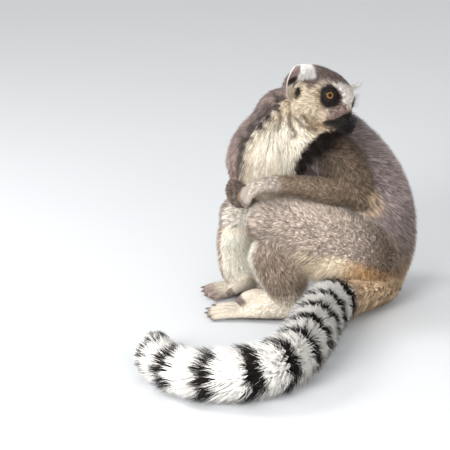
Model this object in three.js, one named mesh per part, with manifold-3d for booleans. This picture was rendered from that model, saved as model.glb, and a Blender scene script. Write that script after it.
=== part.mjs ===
// A ring-tailed lemur at life size, sitting upright on level ground with its knees drawn up.
// The left forearm lies along the top of the left thigh, the right one crosses between the knees,
// the chest is turned to the animal's left and the head looks back over the left shoulder.
// The tail comes out from under the left haunch and curls round in front of the feet.
//
// Millimetres. +Z is up, the pelvis faces -Y, and the animal's left is +X. The ground is Z = 0.
// Every outline includes the coat, out to the tips of the fur.
import * as THREE from "three";
import Module from "manifold-3d";

const wasm = await Module();
wasm.setup();

// ---- Driving dimensions ----
const GAP = 0.3; // between neighbouring pieces
const SLIVER = 0.04; // what a cut leaves that is thinner than this is smoothed away
const EYE_RADIUS = 8.4;
const EYE_PLACE = [20.5, -26, 5]; // left eye's centre, in the head's frame
const HEAD_PLACE = [4, -6, 257]; // centre of the braincase
const HEAD_TURN = { yaw: 124, pitch: 12, roll: 20 }; // degrees: turned left, nose down, leaning left
const CHEST_TWIST = 32; // degrees that the chest is turned left from the pelvis
const TRUNK_PART = 128; // height of the cut between abdomen and chest
const SEAT = [0, 60]; // centre of the rump's flat on the ground, which is the model's origin
const TAIL_LENGTHS = 5;
const TAIL_GAP = 0.004; // between two of them, as a share of one

const LEFT = new THREE.Vector3(1, 0, 0);
const UP = new THREE.Vector3(0, 0, 1);

// ---- Colours ----
const coat = (color) => new THREE.MeshStandardMaterial({ color, roughness: 0.95, metalness: 0 });
const GREY_COAT = coat(0x8b8179);
const PALE_COAT = coat(0xb9b0a6);
const CREAM_COAT = coat(0xe6dccb);
const CROWN_COAT = coat(0x6e6663);
const RING_COAT = coat(0x8f8d8d);
const NOSE_LEATHER = new THREE.MeshStandardMaterial({ color: 0x17120f, roughness: 0.4, metalness: 0 });
const EYE_AMBER = new THREE.MeshStandardMaterial({ color: 0xb86a12, roughness: 0.1, metalness: 0 });

// ---- Solids ----

// A closed solid from points and triangles.
function solidFrom(points, triangles) {
  const geometry = new THREE.BufferGeometry()
    .setAttribute("position", new THREE.Float32BufferAttribute(points.flatMap((p) => p.toArray()), 3))
    .setIndex(triangles.flat());
  return new wasm.Manifold(new wasm.Mesh({
    numProp: 3,
    vertProperties: geometry.getAttribute("position").array,
    triVerts: new Uint32Array(geometry.index.array),
  }));
}

// Joins rings of equal length into triangles, closed at each end by a pole: the first and last point.
function ringTriangles(rings, sides) {
  const triangles = [];
  const at = (ring, j) => 1 + ring * sides + (j % sides);
  const last = 1 + rings * sides;
  for (let j = 0; j < sides; j++) {
    triangles.push([0, at(0, j + 1), at(0, j)], [last, at(rings - 1, j), at(rings - 1, j + 1)]);
    for (let i = 0; i < rings - 1; i++) {
      triangles.push([at(i, j), at(i, j + 1), at(i + 1, j + 1)], [at(i, j), at(i + 1, j + 1), at(i + 1, j)]);
    }
  }
  return triangles;
}

// An oval section carried along a smooth path, with rounded ends.
// stations: [x, y, z, half width, half height]. side: the direction of the width, turned about Z by
// twist degrees from the first station to the last. dome: how far an end bulges, in radii, and 0 where
// it is flat. range: the share of the path that is used. rings: how many shape a rounded end.
function loft(stations, { side = LEFT, twist = 0, sides = 12, steps = 1, dome = [1, 1], range = [0, 1], rings = 2, grow = 0 } = {}) {
  const path = new THREE.CatmullRomCurve3(stations.map(([x, y, z]) => new THREE.Vector3(x, y, z)), false, "catmullrom");
  const radii = new THREE.SplineCurve(stations.map(([, , , w, h]) => new THREE.Vector2(w + grow, h + grow)));
  const [from, to] = range;
  const spans = Math.round((stations.length - 1) * steps * (to - from));
  const sections = [];
  const domeAt = (t, sign, bulge) => {
    for (let k = 1; bulge > 0 && k <= rings; k++) {
      const angle = (k / (rings + 1)) * (Math.PI / 2);
      sections.push({ t, scale: Math.cos(angle), push: sign * bulge * Math.sin(angle) });
    }
  };
  domeAt(from, -1, dome[0]);
  sections.reverse();
  for (let i = 0; i <= spans; i++) sections.push({ t: from + (to - from) * (i / spans), scale: 1, push: 0 });
  domeAt(to, 1, dome[1]);
  const place = ({ t, push }) => {
    const tangent = path.getTangent(t);
    const [w, h] = radii.getPoint(t).toArray();
    return { centre: path.getPoint(t).addScaledVector(tangent, push * Math.min(w, h)), tangent, w, h };
  };
  const points = [place({ t: from, push: -dome[0] }).centre];
  for (const section of sections) {
    const { centre, tangent, w, h } = place(section);
    const turned = side.clone().applyAxisAngle(UP, THREE.MathUtils.degToRad(twist * section.t));
    const across = turned.addScaledVector(tangent, -turned.dot(tangent)).normalize();
    const upright = new THREE.Vector3().crossVectors(tangent, across);
    for (let j = 0; j < sides; j++) {
      const angle = (j / sides) * 2 * Math.PI;
      points.push(centre.clone()
        .addScaledVector(across, section.scale * w * Math.cos(angle))
        .addScaledVector(upright, section.scale * h * Math.sin(angle)));
    }
  }
  points.push(place({ t: to, push: dome[1] }).centre);
  return solidFrom(points, ringTriangles(sections.length, sides));
}

// A ball of this radius.
function ball([x, y, z], radius, sides = 12) {
  return loft([[x, y, z - radius / 2, radius * 0.87, radius * 0.87], [x, y, z, radius, radius],
    [x, y, z + radius / 2, radius * 0.87, radius * 0.87]], { sides, dome: [0.575, 0.575] });
}

const join = (solids) => solids.reduce((a, b) => a.add(b));

// ---- Head, in its own frame: it faces -Y ----
const headMatrix = new THREE.Matrix4().compose(
  new THREE.Vector3(...HEAD_PLACE),
  new THREE.Quaternion().setFromEuler(new THREE.Euler(
    THREE.MathUtils.degToRad(HEAD_TURN.pitch), THREE.MathUtils.degToRad(HEAD_TURN.roll),
    THREE.MathUtils.degToRad(HEAD_TURN.yaw), "ZXY")),
  new THREE.Vector3(1, 1, 1));
const onBody = (solid) => solid.transform(headMatrix.elements);

const skull = (grow) => loft([
  [0, 32, 0, 22, 20], [0, 22, 0, 31.5, 28.5], [0, 6, -0.8, 36.5, 33.2],
  [0, -10, -3.8, 34.5, 35.2], [0, -24, -7.8, 27.6, 31.2], [0, -36, -13.8, 17, 21.5], [0, -47, -17.4, 11, 11.7],
  [0, -54, -16.8, 9.5, 9.6]],
{ sides: 16, steps: 2, dome: [0.5, 0.55], grow });
const noseTip = (grow) => loft([[0, -54, -10, 5.5, 5], [0, -57.5, -12, 5, 4.5]],
  { sides: 10, dome: [0.6, 0.6], grow });
const head = (grow) => onBody(skull(grow));
const nose = (grow) => onBody(noseTip(grow));
const eye = (sign) => (grow) => onBody(ball([sign * EYE_PLACE[0], EYE_PLACE[1], EYE_PLACE[2]], EYE_RADIUS + grow));

// An ear: an upright leaf, cupped forward and outward, thick at its root.
const EAR = { height: 41, depth: 12, width: 17, thickness: 4.5, cup: 6.5 };
// Its root, and the degrees it leans out, swings forward and turns its cup. The left ear is swung forward.
const EAR_POSE = {
  left: { root: [31, 3, -3], lean: 42, forward: 32, turn: 70 },
  right: { root: [30, 7.5, -6], lean: 33, forward: 0, turn: 28 },
};
function earLeaf(pose, grow) {
  const rows = 7;
  const sides = 12;
  const points = [new THREE.Vector3(0, 0, -EAR.depth)];
  for (let i = 0; i < rows; i++) {
    const t = (i + 0.5) / rows;
    const half = EAR.width * Math.sqrt(Math.max(0, 1 - ((t - 0.5) / 0.53) ** 2)) + grow;
    const thick = EAR.thickness * (1 - 0.55 * t) + grow;
    for (let j = 0; j < sides; j++) {
      const angle = (j / sides) * 2 * Math.PI;
      const u = Math.cos(angle);
      const hollow = EAR.cup * (1 - u * u) * Math.sin(Math.PI * Math.min(1, t + 0.15));
      points.push(new THREE.Vector3(half * u, thick * Math.sin(angle) + hollow, -EAR.depth + (EAR.height + EAR.depth) * t));
    }
  }
  points.push(new THREE.Vector3(0, 1, EAR.height + grow));
  const place = new THREE.Matrix4().makeRotationZ(THREE.MathUtils.degToRad(-pose.forward))
    .multiply(new THREE.Matrix4().makeRotationY(THREE.MathUtils.degToRad(pose.lean)))
    .multiply(new THREE.Matrix4().makeRotationZ(THREE.MathUtils.degToRad(pose.turn)))
    .setPosition(...pose.root);
  return solidFrom(points.map((p) => p.applyMatrix4(place)), ringTriangles(rows, sides));
}
const earLeft = (grow) => onBody(earLeaf(EAR_POSE.left, grow));
const earRight = (grow) => onBody(earLeaf(EAR_POSE.right, grow).mirror([1, 0, 0]));

// ---- Neck and trunk ----
const neck = (grow) => loft([
  [-18, -36, 208, 36, 36], [-16, -33, 223, 44.5, 42], [-6, -21, 241, 35.5, 35], [4, -8, 258, 27, 27]],
{ side: new THREE.Vector3(0.8, 0.6, 0), sides: 12, dome: [0.3, 0.3], grow });
const trunk = (grow) => loft([
  [0, 60, 26, 54, 48], [0, 60, 62, 66, 59], [0, 54, 100, 69, 65], [-2, 38, 136, 70, 68],
  [-8, 12, 168, 69, 67], [-14, -14, 194, 67, 60], [-16, -32, 212, 52, 46]],
{ twist: CHEST_TWIST, sides: 18, dome: [0.6, 0.6], grow });
// The thick bib of fur that hangs from the throat over the breastbone.
const bib = (grow) => loft([
  [-8, -42, 224, 34, 22], [-17, -56, 200, 40, 27], [-22, -62, 174, 40, 27], [-20, -62, 150, 32, 22]],
{ side: new THREE.Vector3(0.86, 0.5, 0), dome: [0.7, 0.7], grow });
const abdomen = (grow) => trunk(grow).trimByPlane([0, 0, -1], GAP / 2 - grow - TRUNK_PART);
const chest = (grow) => trunk(grow).add(bib(grow)).trimByPlane([0, 0, 1], TRUNK_PART - grow + GAP / 2);

// ---- Legs ----
const LEFT_THIGH = [
  [46, 50, 64, 31, 42], [54, 20, 80, 34, 48], [58, -20, 99, 32, 47], [57, -65, 119, 28, 35], [56, -91, 126, 23, 27]];
const RIGHT_THIGH = [
  [-46, 50, 62, 30, 40], [-54, 20, 74, 33, 44], [-57, -22, 87, 31, 40], [-55, -62, 98, 26, 30], [-53, -90, 99, 21.5, 26]];
const LEFT_SHANK = [
  [56, -82, 110, 17, 22], [57, -76, 90, 22, 37], [57, -70, 66, 21, 33], [56, -64, 42, 17, 25], [55, -58, 22, 14, 17]];
const RIGHT_SHANK = [
  [-53, -85, 90, 19, 24], [-53, -88, 71, 19.5, 26.5], [-51, -87, 52, 18, 27], [-48, -86, 34, 17, 26], [-46, -81, 22, 15, 22]];
const limb = (stations, options = {}) => (grow) => loft(stations, { dome: [0.9, 0.9], ...options, grow });

// A foot: a long sole from heel to ball, four toes spread from the ball, and a big toe set apart.
function foot(sole, toes) {
  return (grow) => join([
    loft(sole, { sides: 10, dome: [0.8, 0.7], grow }),
    ...toes.map((toe) => loft(toe, { sides: 6, dome: [0.8, 1], rings: 1, grow })),
  ]);
}
const LEFT_SOLE = [[57, -50, 14, 13, 14], [51, -70, 18, 16, 18], [40, -92, 14, 18, 14], [31, -106, 10, 18, 9]];
const RIGHT_SOLE = [[-45, -48, 14, 13, 14], [-46, -64, 17, 15, 17], [-48, -82, 14, 17, 14], [-49, -95, 10, 17, 9]];

// The toes fan out from the ball of a foot: each starts on the ball and runs along the foot's heading.
function fan(ball, heading, lengths, spread, gauge) {
  return lengths.map((length, i) => {
    const place = i - (lengths.length - 1) / 2;
    const turn = THREE.MathUtils.degToRad(heading + place * spread);
    const [fx, fy] = [Math.sin(turn), -Math.cos(turn)];
    const across = THREE.MathUtils.degToRad(heading);
    const x = ball[0] + place * gauge * 1.75 * Math.cos(across);
    const y = ball[1] + place * gauge * 1.75 * Math.sin(across);
    return [[x, y, ball[2], gauge, gauge], [x + fx * length * 0.5, y + fy * length * 0.5, ball[2] * 0.95, gauge, gauge],
      [x + fx * length, y + fy * length, gauge * 0.8, gauge * 0.8, gauge * 0.8]];
  });
}
const LEFT_TOES = fan([29, -108, 8], -26, [34, 39, 38, 33], 6, 5.4);
const RIGHT_TOES = fan([-49, -97, 8], 0, [26, 29, 30, 27], 8, 5.4);
const LEFT_BIG_TOE = [[45, -74, 21, 11, 11], [40, -90, 27, 11, 10.5], [37, -103, 27.5, 9, 8.5], [36, -111, 23.5, 7, 6.5]];
const RIGHT_BIG_TOE = [[-38, -72, 16, 8, 8], [-28, -84, 19, 8, 8], [-22, -97, 17, 7, 7], [-20, -106, 13, 6, 6]];

// ---- Arms ----
const LEFT_UPPER_ARM = [[28, -6, 200, 28, 30], [54, 7, 184, 26, 28], [68, 18, 162, 22, 24], [71, 24, 148, 19, 20]];
const RIGHT_UPPER_ARM = [
  [-36, -49, 208, 30, 32], [-50, -65, 188, 28, 30], [-56, -75, 165, 25, 27], [-55, -76, 148, 21, 21]];
const LEFT_FOREARM = [[69, 14, 151, 14, 15], [68, -10, 157, 17, 17], [60, -44, 164, 15, 14], [50, -76, 167, 13, 12]];
const RIGHT_FOREARM = [
  [-54, -75, 139, 16, 17], [-42, -88, 136, 17.5, 18], [-20, -95, 134, 15, 15], [-2, -98, 137, 12, 12]];

// A hand hanging from the wrist, its fingers curled down over what it rests on.
const LEFT_PALM = [[49, -80, 167, 12, 10], [47, -93, 165.5, 14, 10], [44, -101, 161, 14, 9]];
const RIGHT_PALM = [[-2, -98, 137, 11, 11], [10, -99, 142, 11, 11], [19, -99, 147, 9, 10]];
function hand(palm, fingers) {
  return (grow) => join([
    loft(palm, { sides: 10, dome: [0.6, 0.7], grow }),
    ...fingers.map((finger) => loft(finger, { sides: 6, dome: [0.8, 1], rings: 1, grow })),
  ]);
}
const LEFT_FINGERS = [-1.5, -0.5, 0.5, 1.5].map((place) => {
  const x = 42 + place * 6.8;
  return [[x, -101, 161, 4.5, 4.5], [x - 1, -107, 153, 4.4, 4.4], [x - 1, -108, 144 + Math.abs(place) * 2, 3.9, 3.9]];
});
const RIGHT_FINGERS = [-1.5, -0.5, 0.5, 1.5].map((place) => [
  [18, -101 - place, 147 + place * 5, 4.2, 4.2], [27, -102 - place, 149 + place * 5, 4, 4]]);

// ---- Tail: a thick brush that lies on the ground ----
const TAIL = [
  [6, 84, 26, 17, 17], [32, 76, 26, 20, 20], [52, 58, 26, 23, 23], [63, 34, 28, 26, 25], [74, 6, 29, 28, 28],
  [98, -24, 30, 31, 31], [138, -54, 30, 32, 32], [184, -83, 30, 33, 32], [226, -113, 30, 33, 32],
  [256, -150, 30, 33, 32], [264, -194, 30, 32, 31], [244, -232, 28, 30, 29], [206, -252, 27, 27, 27],
  [162, -253, 23, 22, 23], [120, -238, 17, 14, 15]];

// One of the tail's equal lengths, cut square to its path.
function tailLength(index) {
  const last = index === TAIL_LENGTHS - 1;
  const range = [(index + (index > 0 ? TAIL_GAP : 0)) / TAIL_LENGTHS, (index + 1) / TAIL_LENGTHS];
  return (grow) => loft(TAIL, {
    side: UP, sides: 14, steps: 2, dome: [index === 0 ? 0.5 : 0, last ? 1.2 : 0], range, grow });
}

// ---- Putting it together ----
const model = new THREE.Group();
model.position.set(-SEAT[0], -SEAT[1], 0);
const placed = [];

// Adds a piece. What was placed before keeps its shape, and the new piece is cut back from it.
function place(name, material, make) {
  let solid = make(0).trimByPlane([0, 0, 1], 0);
  for (const grown of placed) solid = solid.subtract(grown);
  solid = solid.decompose().reduce((a, b) => (a.volume() > b.volume() ? a : b)).asOriginal().simplify(SLIVER);
  placed.push(make(GAP));
  const { vertProperties, triVerts } = solid.getMesh();
  const geometry = new THREE.BufferGeometry()
    .setAttribute("position", new THREE.BufferAttribute(vertProperties, 3))
    .setIndex(new THREE.BufferAttribute(triVerts, 1));
  geometry.computeVertexNormals();
  const mesh = new THREE.Mesh(geometry, material);
  mesh.name = name;
  model.add(mesh);
}

place("eye_left", EYE_AMBER, eye(1));
place("eye_right", EYE_AMBER, eye(-1));
place("nose", NOSE_LEATHER, nose);
place("head", CROWN_COAT, head);
place("ear_left", CREAM_COAT, earLeft);
place("ear_right", CREAM_COAT, earRight);
place("abdomen", GREY_COAT, abdomen);
place("chest", CREAM_COAT, chest);
place("neck", CREAM_COAT, neck);
place("thigh_left", GREY_COAT, limb(LEFT_THIGH));
place("thigh_right", GREY_COAT, limb(RIGHT_THIGH));
place("shank_left", GREY_COAT, limb(LEFT_SHANK));
place("shank_right", GREY_COAT, limb(RIGHT_SHANK));
place("foot_left", PALE_COAT, foot(LEFT_SOLE, [...LEFT_TOES, LEFT_BIG_TOE]));
place("foot_right", PALE_COAT, foot(RIGHT_SOLE, [...RIGHT_TOES, RIGHT_BIG_TOE]));
place("upper_arm_left", GREY_COAT, limb(LEFT_UPPER_ARM));
place("upper_arm_right", GREY_COAT, limb(RIGHT_UPPER_ARM));
place("forearm_left", GREY_COAT, limb(LEFT_FOREARM));
place("forearm_right", GREY_COAT, limb(RIGHT_FOREARM));
place("hand_left", PALE_COAT, hand(LEFT_PALM, LEFT_FINGERS));
place("hand_right", PALE_COAT, hand(RIGHT_PALM, RIGHT_FINGERS));
for (let i = 0; i < TAIL_LENGTHS; i++) place(`tail_${i + 1}`, RING_COAT, tailLength(i));

export default model;
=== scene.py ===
"""A ring-tailed lemur at life size, sitting upright: skin, coat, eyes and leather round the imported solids.

Shapes are worked out in millimetres, in the construction's own figures: +Z is up, the pelvis faces -Y and
the animal's left is +X. to_world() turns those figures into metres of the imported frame.
"""

import math

import bmesh
import bpy
import numpy as np
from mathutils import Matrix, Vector


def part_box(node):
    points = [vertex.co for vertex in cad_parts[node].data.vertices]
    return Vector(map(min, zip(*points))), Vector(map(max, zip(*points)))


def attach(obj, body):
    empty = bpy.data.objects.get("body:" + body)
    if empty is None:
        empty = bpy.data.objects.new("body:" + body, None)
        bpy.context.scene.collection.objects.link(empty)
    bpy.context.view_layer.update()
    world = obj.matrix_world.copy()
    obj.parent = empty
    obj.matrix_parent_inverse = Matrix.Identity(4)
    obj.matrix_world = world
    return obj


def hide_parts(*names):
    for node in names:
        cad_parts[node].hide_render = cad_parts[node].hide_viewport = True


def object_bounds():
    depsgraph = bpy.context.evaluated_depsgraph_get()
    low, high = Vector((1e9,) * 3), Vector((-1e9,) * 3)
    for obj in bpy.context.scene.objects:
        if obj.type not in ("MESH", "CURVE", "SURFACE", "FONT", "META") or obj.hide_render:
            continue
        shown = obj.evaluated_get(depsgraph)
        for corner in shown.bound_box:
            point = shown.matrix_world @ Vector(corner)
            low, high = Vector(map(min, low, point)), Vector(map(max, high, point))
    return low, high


bl_info = {
    "name": "Ring-tailed lemur",
    "version": (1, 0, 0),
    "blender": (4, 5, 0),
    "location": "View3D > Sidebar > Lemur",
    "description": "Builds the skin, coat, eyes and leather of a life-size ring-tailed lemur",
    "category": "Object",
}

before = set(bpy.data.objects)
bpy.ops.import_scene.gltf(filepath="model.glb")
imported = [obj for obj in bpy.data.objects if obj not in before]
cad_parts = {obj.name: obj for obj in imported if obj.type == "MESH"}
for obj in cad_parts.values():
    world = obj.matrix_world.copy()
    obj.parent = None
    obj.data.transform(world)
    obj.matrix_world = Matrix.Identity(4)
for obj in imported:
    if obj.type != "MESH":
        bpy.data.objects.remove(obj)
CAD_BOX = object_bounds()

# ---- Sizes and places --------------------------------------------
MM = 0.001
SEAT = np.array([0.0, 60.0, 0.0])  # the rump's flat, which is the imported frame's origin
LEFT = (1.0, 0.0, 0.0)
UP = (0.0, 0.0, 1.0)

HEAD_PLACE = np.array([4.0, -6.0, 257.0])  # centre of the braincase
HEAD_TURN = {"yaw": 124.0, "pitch": 12.0, "roll": 20.0}
LOOK = np.array([-0.849, -0.508, 0.142])  # where the near eye looks, in the head's frame
LID_OPENING = 47.0  # degrees from the gaze to the lid's edge
EAR = {"height": 39, "depth": 12, "width": 16.4, "thickness": 1.3, "cup": 8.0}
EAR_POSE = {"left": {"root": (31, 3, -3), "lean": 42, "forward": 32, "turn": 70},
            "right": {"root": (30, 7.5, -6), "lean": 33, "forward": 0, "turn": 28}}
FIRST_RING = 134.0  # along the tail to the middle of its first dark ring
RING_STEP = 42.0
WARM_TO = (8.0, 34.0)  # along the tail: where the rump's brown gives way to its pale root
RINGLESS_TO = (112.0, 146.0)  # where the pale root gives way to white and the rings begin
RINGS_SOFT_TO = (215.0, 275.0)  # up to where the rings' edges are soft
BLACK_TIP = (0.955, 0.975)  # in shares of the tail's path
TOE_GAP = 1.75  # between neighbouring toes at the ball, in toe radii


def part(stations, depth, length, side=LEFT, twist=0.0, dome=(0.9, 0.9), along=1.0, width=1.1, clump=4.0,
         gather=0.3, droop=0.0, steps=5, around=24):
    """One stretch of the body: an oval section carried along a path, and the coat on it.

    stations are rows of x, y, z, half width and half height, out to the tips of the coat. depth is how far
    the skin lies inside them, and length is the hair's, one number or one for each station. along is the
    way the hair lies on the path, width is a tuft's, clump and gather say how wide its locks are and how
    much they draw together, and droop is how much it hangs.
    """
    rows = np.array(stations, float)
    count = len(rows)
    return {
        "rows": rows, "side": np.array(side, float), "twist": twist, "dome": dome, "along": along,
        "depth": np.broadcast_to(np.array(depth, float), count), "width": width, "clump": clump,
        "length": np.broadcast_to(np.array(length, float), count), "gather": gather, "droop": droop,
        "steps": steps, "around": around,
    }


def fan(ball, heading, lengths, spread, gauge):
    """Toes fanned from a foot's ball, each a straight path along the foot's heading plus its own turn."""
    toes = []
    for i, length in enumerate(lengths):
        place = i - (len(lengths) - 1) / 2
        turn, across = math.radians(heading + place * spread), math.radians(heading)
        fx, fy = math.sin(turn), -math.cos(turn)
        x = ball[0] + place * gauge * TOE_GAP * math.cos(across)
        y = ball[1] + place * gauge * TOE_GAP * math.sin(across)
        toes.append([[x, y, ball[2], gauge, gauge],
                     [x + fx * length * 0.5, y + fy * length * 0.5, ball[2] * 0.95, gauge, gauge],
                     [x + fx * length, y + fy * length, gauge * 0.8, gauge * 0.8, gauge * 0.8]])
    return toes


def body_parts():
    """Every stretch of the body by name, with its coat."""
    parts = {
        "skull": part([[0, 32, 0, 22, 20], [0, 22, 0, 31.5, 28.5], [0, 6, -0.8, 36.5, 33.2],
                       [0, -10, -3.8, 34.5, 35.2], [0, -24, -7.8, 27.6, 31.2], [0, -36, -13.8, 17, 21.5],
                       [0, -47, -17.4, 11, 11.7], [0, -54, -16.8, 9.5, 9.6]],
                      [4, 4, 4, 3.4, 2.2, 1.4, 1.0, 0.8], [10, 10, 9, 8, 5, 3.2, 2.2, 1.6],
                      dome=(0.5, 0.55), width=0.75, clump=2.0, gather=0.35, steps=6, around=48),
        "neck": part([[-18, -36, 208, 36, 36], [-16, -33, 223, 44.5, 42], [-6, -21, 241, 35.5, 35],
                      [4, -8, 258, 27, 27]],
                     [8, 8, 6.5, 5], [20, 17, 12, 9], side=(0.8, 0.6, 0), dome=(0.3, 0.3), along=-1,
                     width=1.1, clump=6, gather=0.45, droop=0.5),
        "trunk": part([[0, 60, 26, 54, 48], [0, 60, 62, 66, 59], [0, 54, 100, 69, 65], [-2, 38, 136, 70, 68],
                       [-8, 12, 168, 69, 67], [-14, -14, 194, 67, 60], [-16, -32, 212, 52, 46]],
                      [6, 7, 7, 7, 7, 7, 8], [10, 10.5, 10.5, 10.5, 10.5, 11, 13], twist=32.0,
                      dome=(0.6, 0.6), along=-1, width=1.0, clump=2.2, gather=0.5, around=40),
        "bib": part([[-8, -42, 224, 34, 22], [-17, -56, 200, 40, 27], [-22, -62, 174, 40, 27],
                     [-20, -62, 150, 32, 22]],
                    [7, 8, 8, 8], [20, 24, 25, 24], side=(0.86, 0.5, 0), dome=(0.7, 0.7), width=1.1,
                    clump=8, gather=0.6, droop=0.8),
        "tail": part([[6, 84, 26, 17, 17], [32, 76, 26, 20, 20], [52, 58, 26, 23, 23], [63, 34, 28, 26, 25],
                      [74, 6, 29, 28, 28], [98, -24, 30, 31, 31], [138, -54, 30, 32, 32],
                      [184, -83, 30, 33, 32], [226, -113, 30, 33, 32], [256, -150, 30, 33, 32],
                      [264, -194, 30, 32, 31], [244, -232, 28, 30, 29], [206, -252, 27, 27, 27],
                      [162, -253, 23, 22, 23], [120, -238, 17, 14, 15]],
                     [6, 7, 9, 11, 13, 15, 16, 17, 17, 17, 16, 15, 13, 10, 7],
                     [10, 11, 14, 17, 20, 23, 24, 25, 25, 25, 24, 23, 21, 18, 15], side=UP,
                     dome=(0.5, 1.2), width=1.25, clump=8, gather=0.55, steps=4, around=28),
    }
    thighs = {
        "left": [[46, 50, 64, 31, 42], [54, 20, 80, 34, 48], [58, -20, 99, 32, 47], [57, -65, 119, 28, 35],
                 [56, -91, 126, 23, 27]],
        "right": [[-46, 50, 62, 30, 40], [-54, 20, 74, 33, 44], [-57, -22, 87, 31, 40],
                  [-55, -62, 98, 26, 30], [-53, -90, 99, 21.5, 26]],
    }
    shanks = {
        "left": [[56, -82, 110, 17, 22], [57, -76, 90, 22, 37], [57, -70, 66, 21, 33], [56, -64, 42, 17, 25],
                 [55, -58, 22, 14, 17]],
        "right": [[-53, -85, 90, 19, 24], [-53, -88, 71, 19.5, 26.5], [-51, -87, 52, 18, 27],
                  [-48, -86, 34, 17, 26], [-46, -81, 22, 15, 22]],
    }
    soles = {
        "left": [[57, -50, 14, 13, 14], [51, -70, 18, 16, 18], [40, -92, 14, 18, 14], [31, -106, 10, 18, 9]],
        "right": [[-45, -48, 14, 13, 14], [-46, -64, 17, 15, 17], [-48, -82, 14, 17, 14],
                  [-49, -95, 10, 17, 9]],
    }
    toes = {
        "left": fan((29, -108, 8), -26, (34, 39, 38, 33), 6, 5.4)
        + [[[45, -74, 21, 11, 11], [40, -90, 27, 11, 10.5], [37, -103, 27.5, 9, 8.5],
            [36, -111, 23.5, 7, 6.5]]],
        "right": fan((-49, -97, 8), 0, (26, 29, 30, 27), 8, 5.4)
        + [[[-38, -72, 16, 8, 8], [-28, -84, 19, 8, 8], [-22, -97, 17, 7, 7], [-20, -106, 13, 6, 6]]],
    }
    upper_arms = {
        "left": [[28, -6, 200, 28, 30], [54, 7, 184, 26, 28], [68, 18, 162, 22, 24], [71, 24, 148, 19, 20]],
        "right": [[-36, -49, 208, 30, 32], [-50, -65, 188, 28, 30], [-56, -75, 165, 25, 27],
                  [-55, -76, 148, 21, 21]],
    }
    forearms = {
        "left": [[69, 14, 151, 14, 15], [68, -10, 157, 17, 17], [60, -44, 164, 15, 14],
                 [50, -76, 167, 13, 12]],
        "right": [[-54, -75, 139, 16, 17], [-42, -88, 136, 17.5, 18], [-20, -95, 134, 15, 15],
                  [-2, -98, 137, 12, 12]],
    }
    palms = {
        "left": [[49, -80, 167, 12, 10], [47, -93, 165.5, 14, 10], [44, -101, 161, 14, 9]],
        "right": [[-2, -98, 137, 11, 11], [10, -99, 142, 11, 11], [19, -99, 147, 9, 10]],
    }
    fingers = {"left": [], "right": []}
    for place in (-1.5, -0.5, 0.5, 1.5):
        x = 42 + place * 6.8
        fingers["left"].append([[x, -101, 161, 4.5, 4.5], [x - 1, -107, 153, 4.4, 4.4],
                                [x - 1, -108, 144 + abs(place) * 2, 3.9, 3.9]])
        fingers["right"].append([[18, -101 - place, 147 + place * 5, 4.2, 4.2],
                                 [27, -102 - place, 149 + place * 5, 4, 4]])
    for s in ("left", "right"):
        parts["thigh_" + s] = part(thighs[s], 5, 7.8, width=1.0, clump=1.8, gather=0.35, around=32)
        parts["shank_" + s] = part(shanks[s], (4.5, 4.5, 4.5, 3.5, 2.5), (7, 7, 7, 5.6, 4),
                                   width=0.95, clump=1.8, gather=0.35)
        parts["sole_" + s] = part(soles[s], (2.4, 2, 1.6, 1.2), (5, 4.5, 3.6, 3), dome=(0.8, 0.7),
                                  width=0.75, clump=2.4, gather=0.2)
        for i, toe in enumerate(toes[s]):
            parts[f"toe_{s}_{i + 1}"] = part(toe, (1.0,) * (len(toe) - 1) + (0.5,), 2.6, dome=(0.8, 1),
                                             width=0.6, clump=2.0, gather=0.15, around=16)
        parts["upper_arm_" + s] = part(upper_arms[s], (6, 5, 4.5, 4), (9.5, 8, 7, 6.2), width=0.95,
                                       clump=1.9, gather=0.4)
        parts["forearm_" + s] = part(forearms[s], (3.5, 3.5, 3, 2), (5.8, 5.8, 5, 3.8), width=0.9,
                                     clump=1.7, gather=0.35)
        parts["palm_" + s] = part(palms[s], (1.8, 1.3, 1.0), (4.5, 3.6, 3), dome=(0.6, 0.7), width=0.7,
                                  clump=2.2, gather=0.2, around=20)
        for i, finger in enumerate(fingers[s]):
            parts[f"finger_{s}_{i + 1}"] = part(finger, 0.6, 2.2, dome=(0.8, 1), width=0.55, clump=1.8,
                                                gather=0.15, around=16)
    return parts


PARTS = body_parts()
NAMES = list(PARTS)


def to_world(points):
    """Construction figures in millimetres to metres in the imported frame."""
    return (np.asarray(points, float) - SEAT) * MM


def unit(v):
    """Rows scaled to length one."""
    return v / np.maximum(np.linalg.norm(v, axis=-1, keepdims=True), 1e-12)


def turn_about(axis, degrees):
    """The rotation matrix about one of the axes 0, 1, 2."""
    c, s = math.cos(math.radians(degrees)), math.sin(math.radians(degrees))
    i, j = [(1, 2), (2, 0), (0, 1)][axis]
    m = np.eye(3)
    m[i, i] = m[j, j] = c
    m[i, j], m[j, i] = -s, s
    return m


HEAD_MATRIX = (turn_about(2, HEAD_TURN["yaw"]) @ turn_about(0, HEAD_TURN["pitch"])
               @ turn_about(1, HEAD_TURN["roll"]))


def from_head(points):
    """The head's own figures to the construction's."""
    return np.asarray(points, float) @ HEAD_MATRIX.T + HEAD_PLACE


def in_head(points):
    """The construction's figures to the head's own."""
    return (np.asarray(points, float) - HEAD_PLACE) @ HEAD_MATRIX


def rise(x, low, high):
    """A smooth step from 0 at low to 1 at high."""
    t = np.clip((x - low) / (high - low), 0, 1)
    return t * t * (3 - 2 * t)


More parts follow.
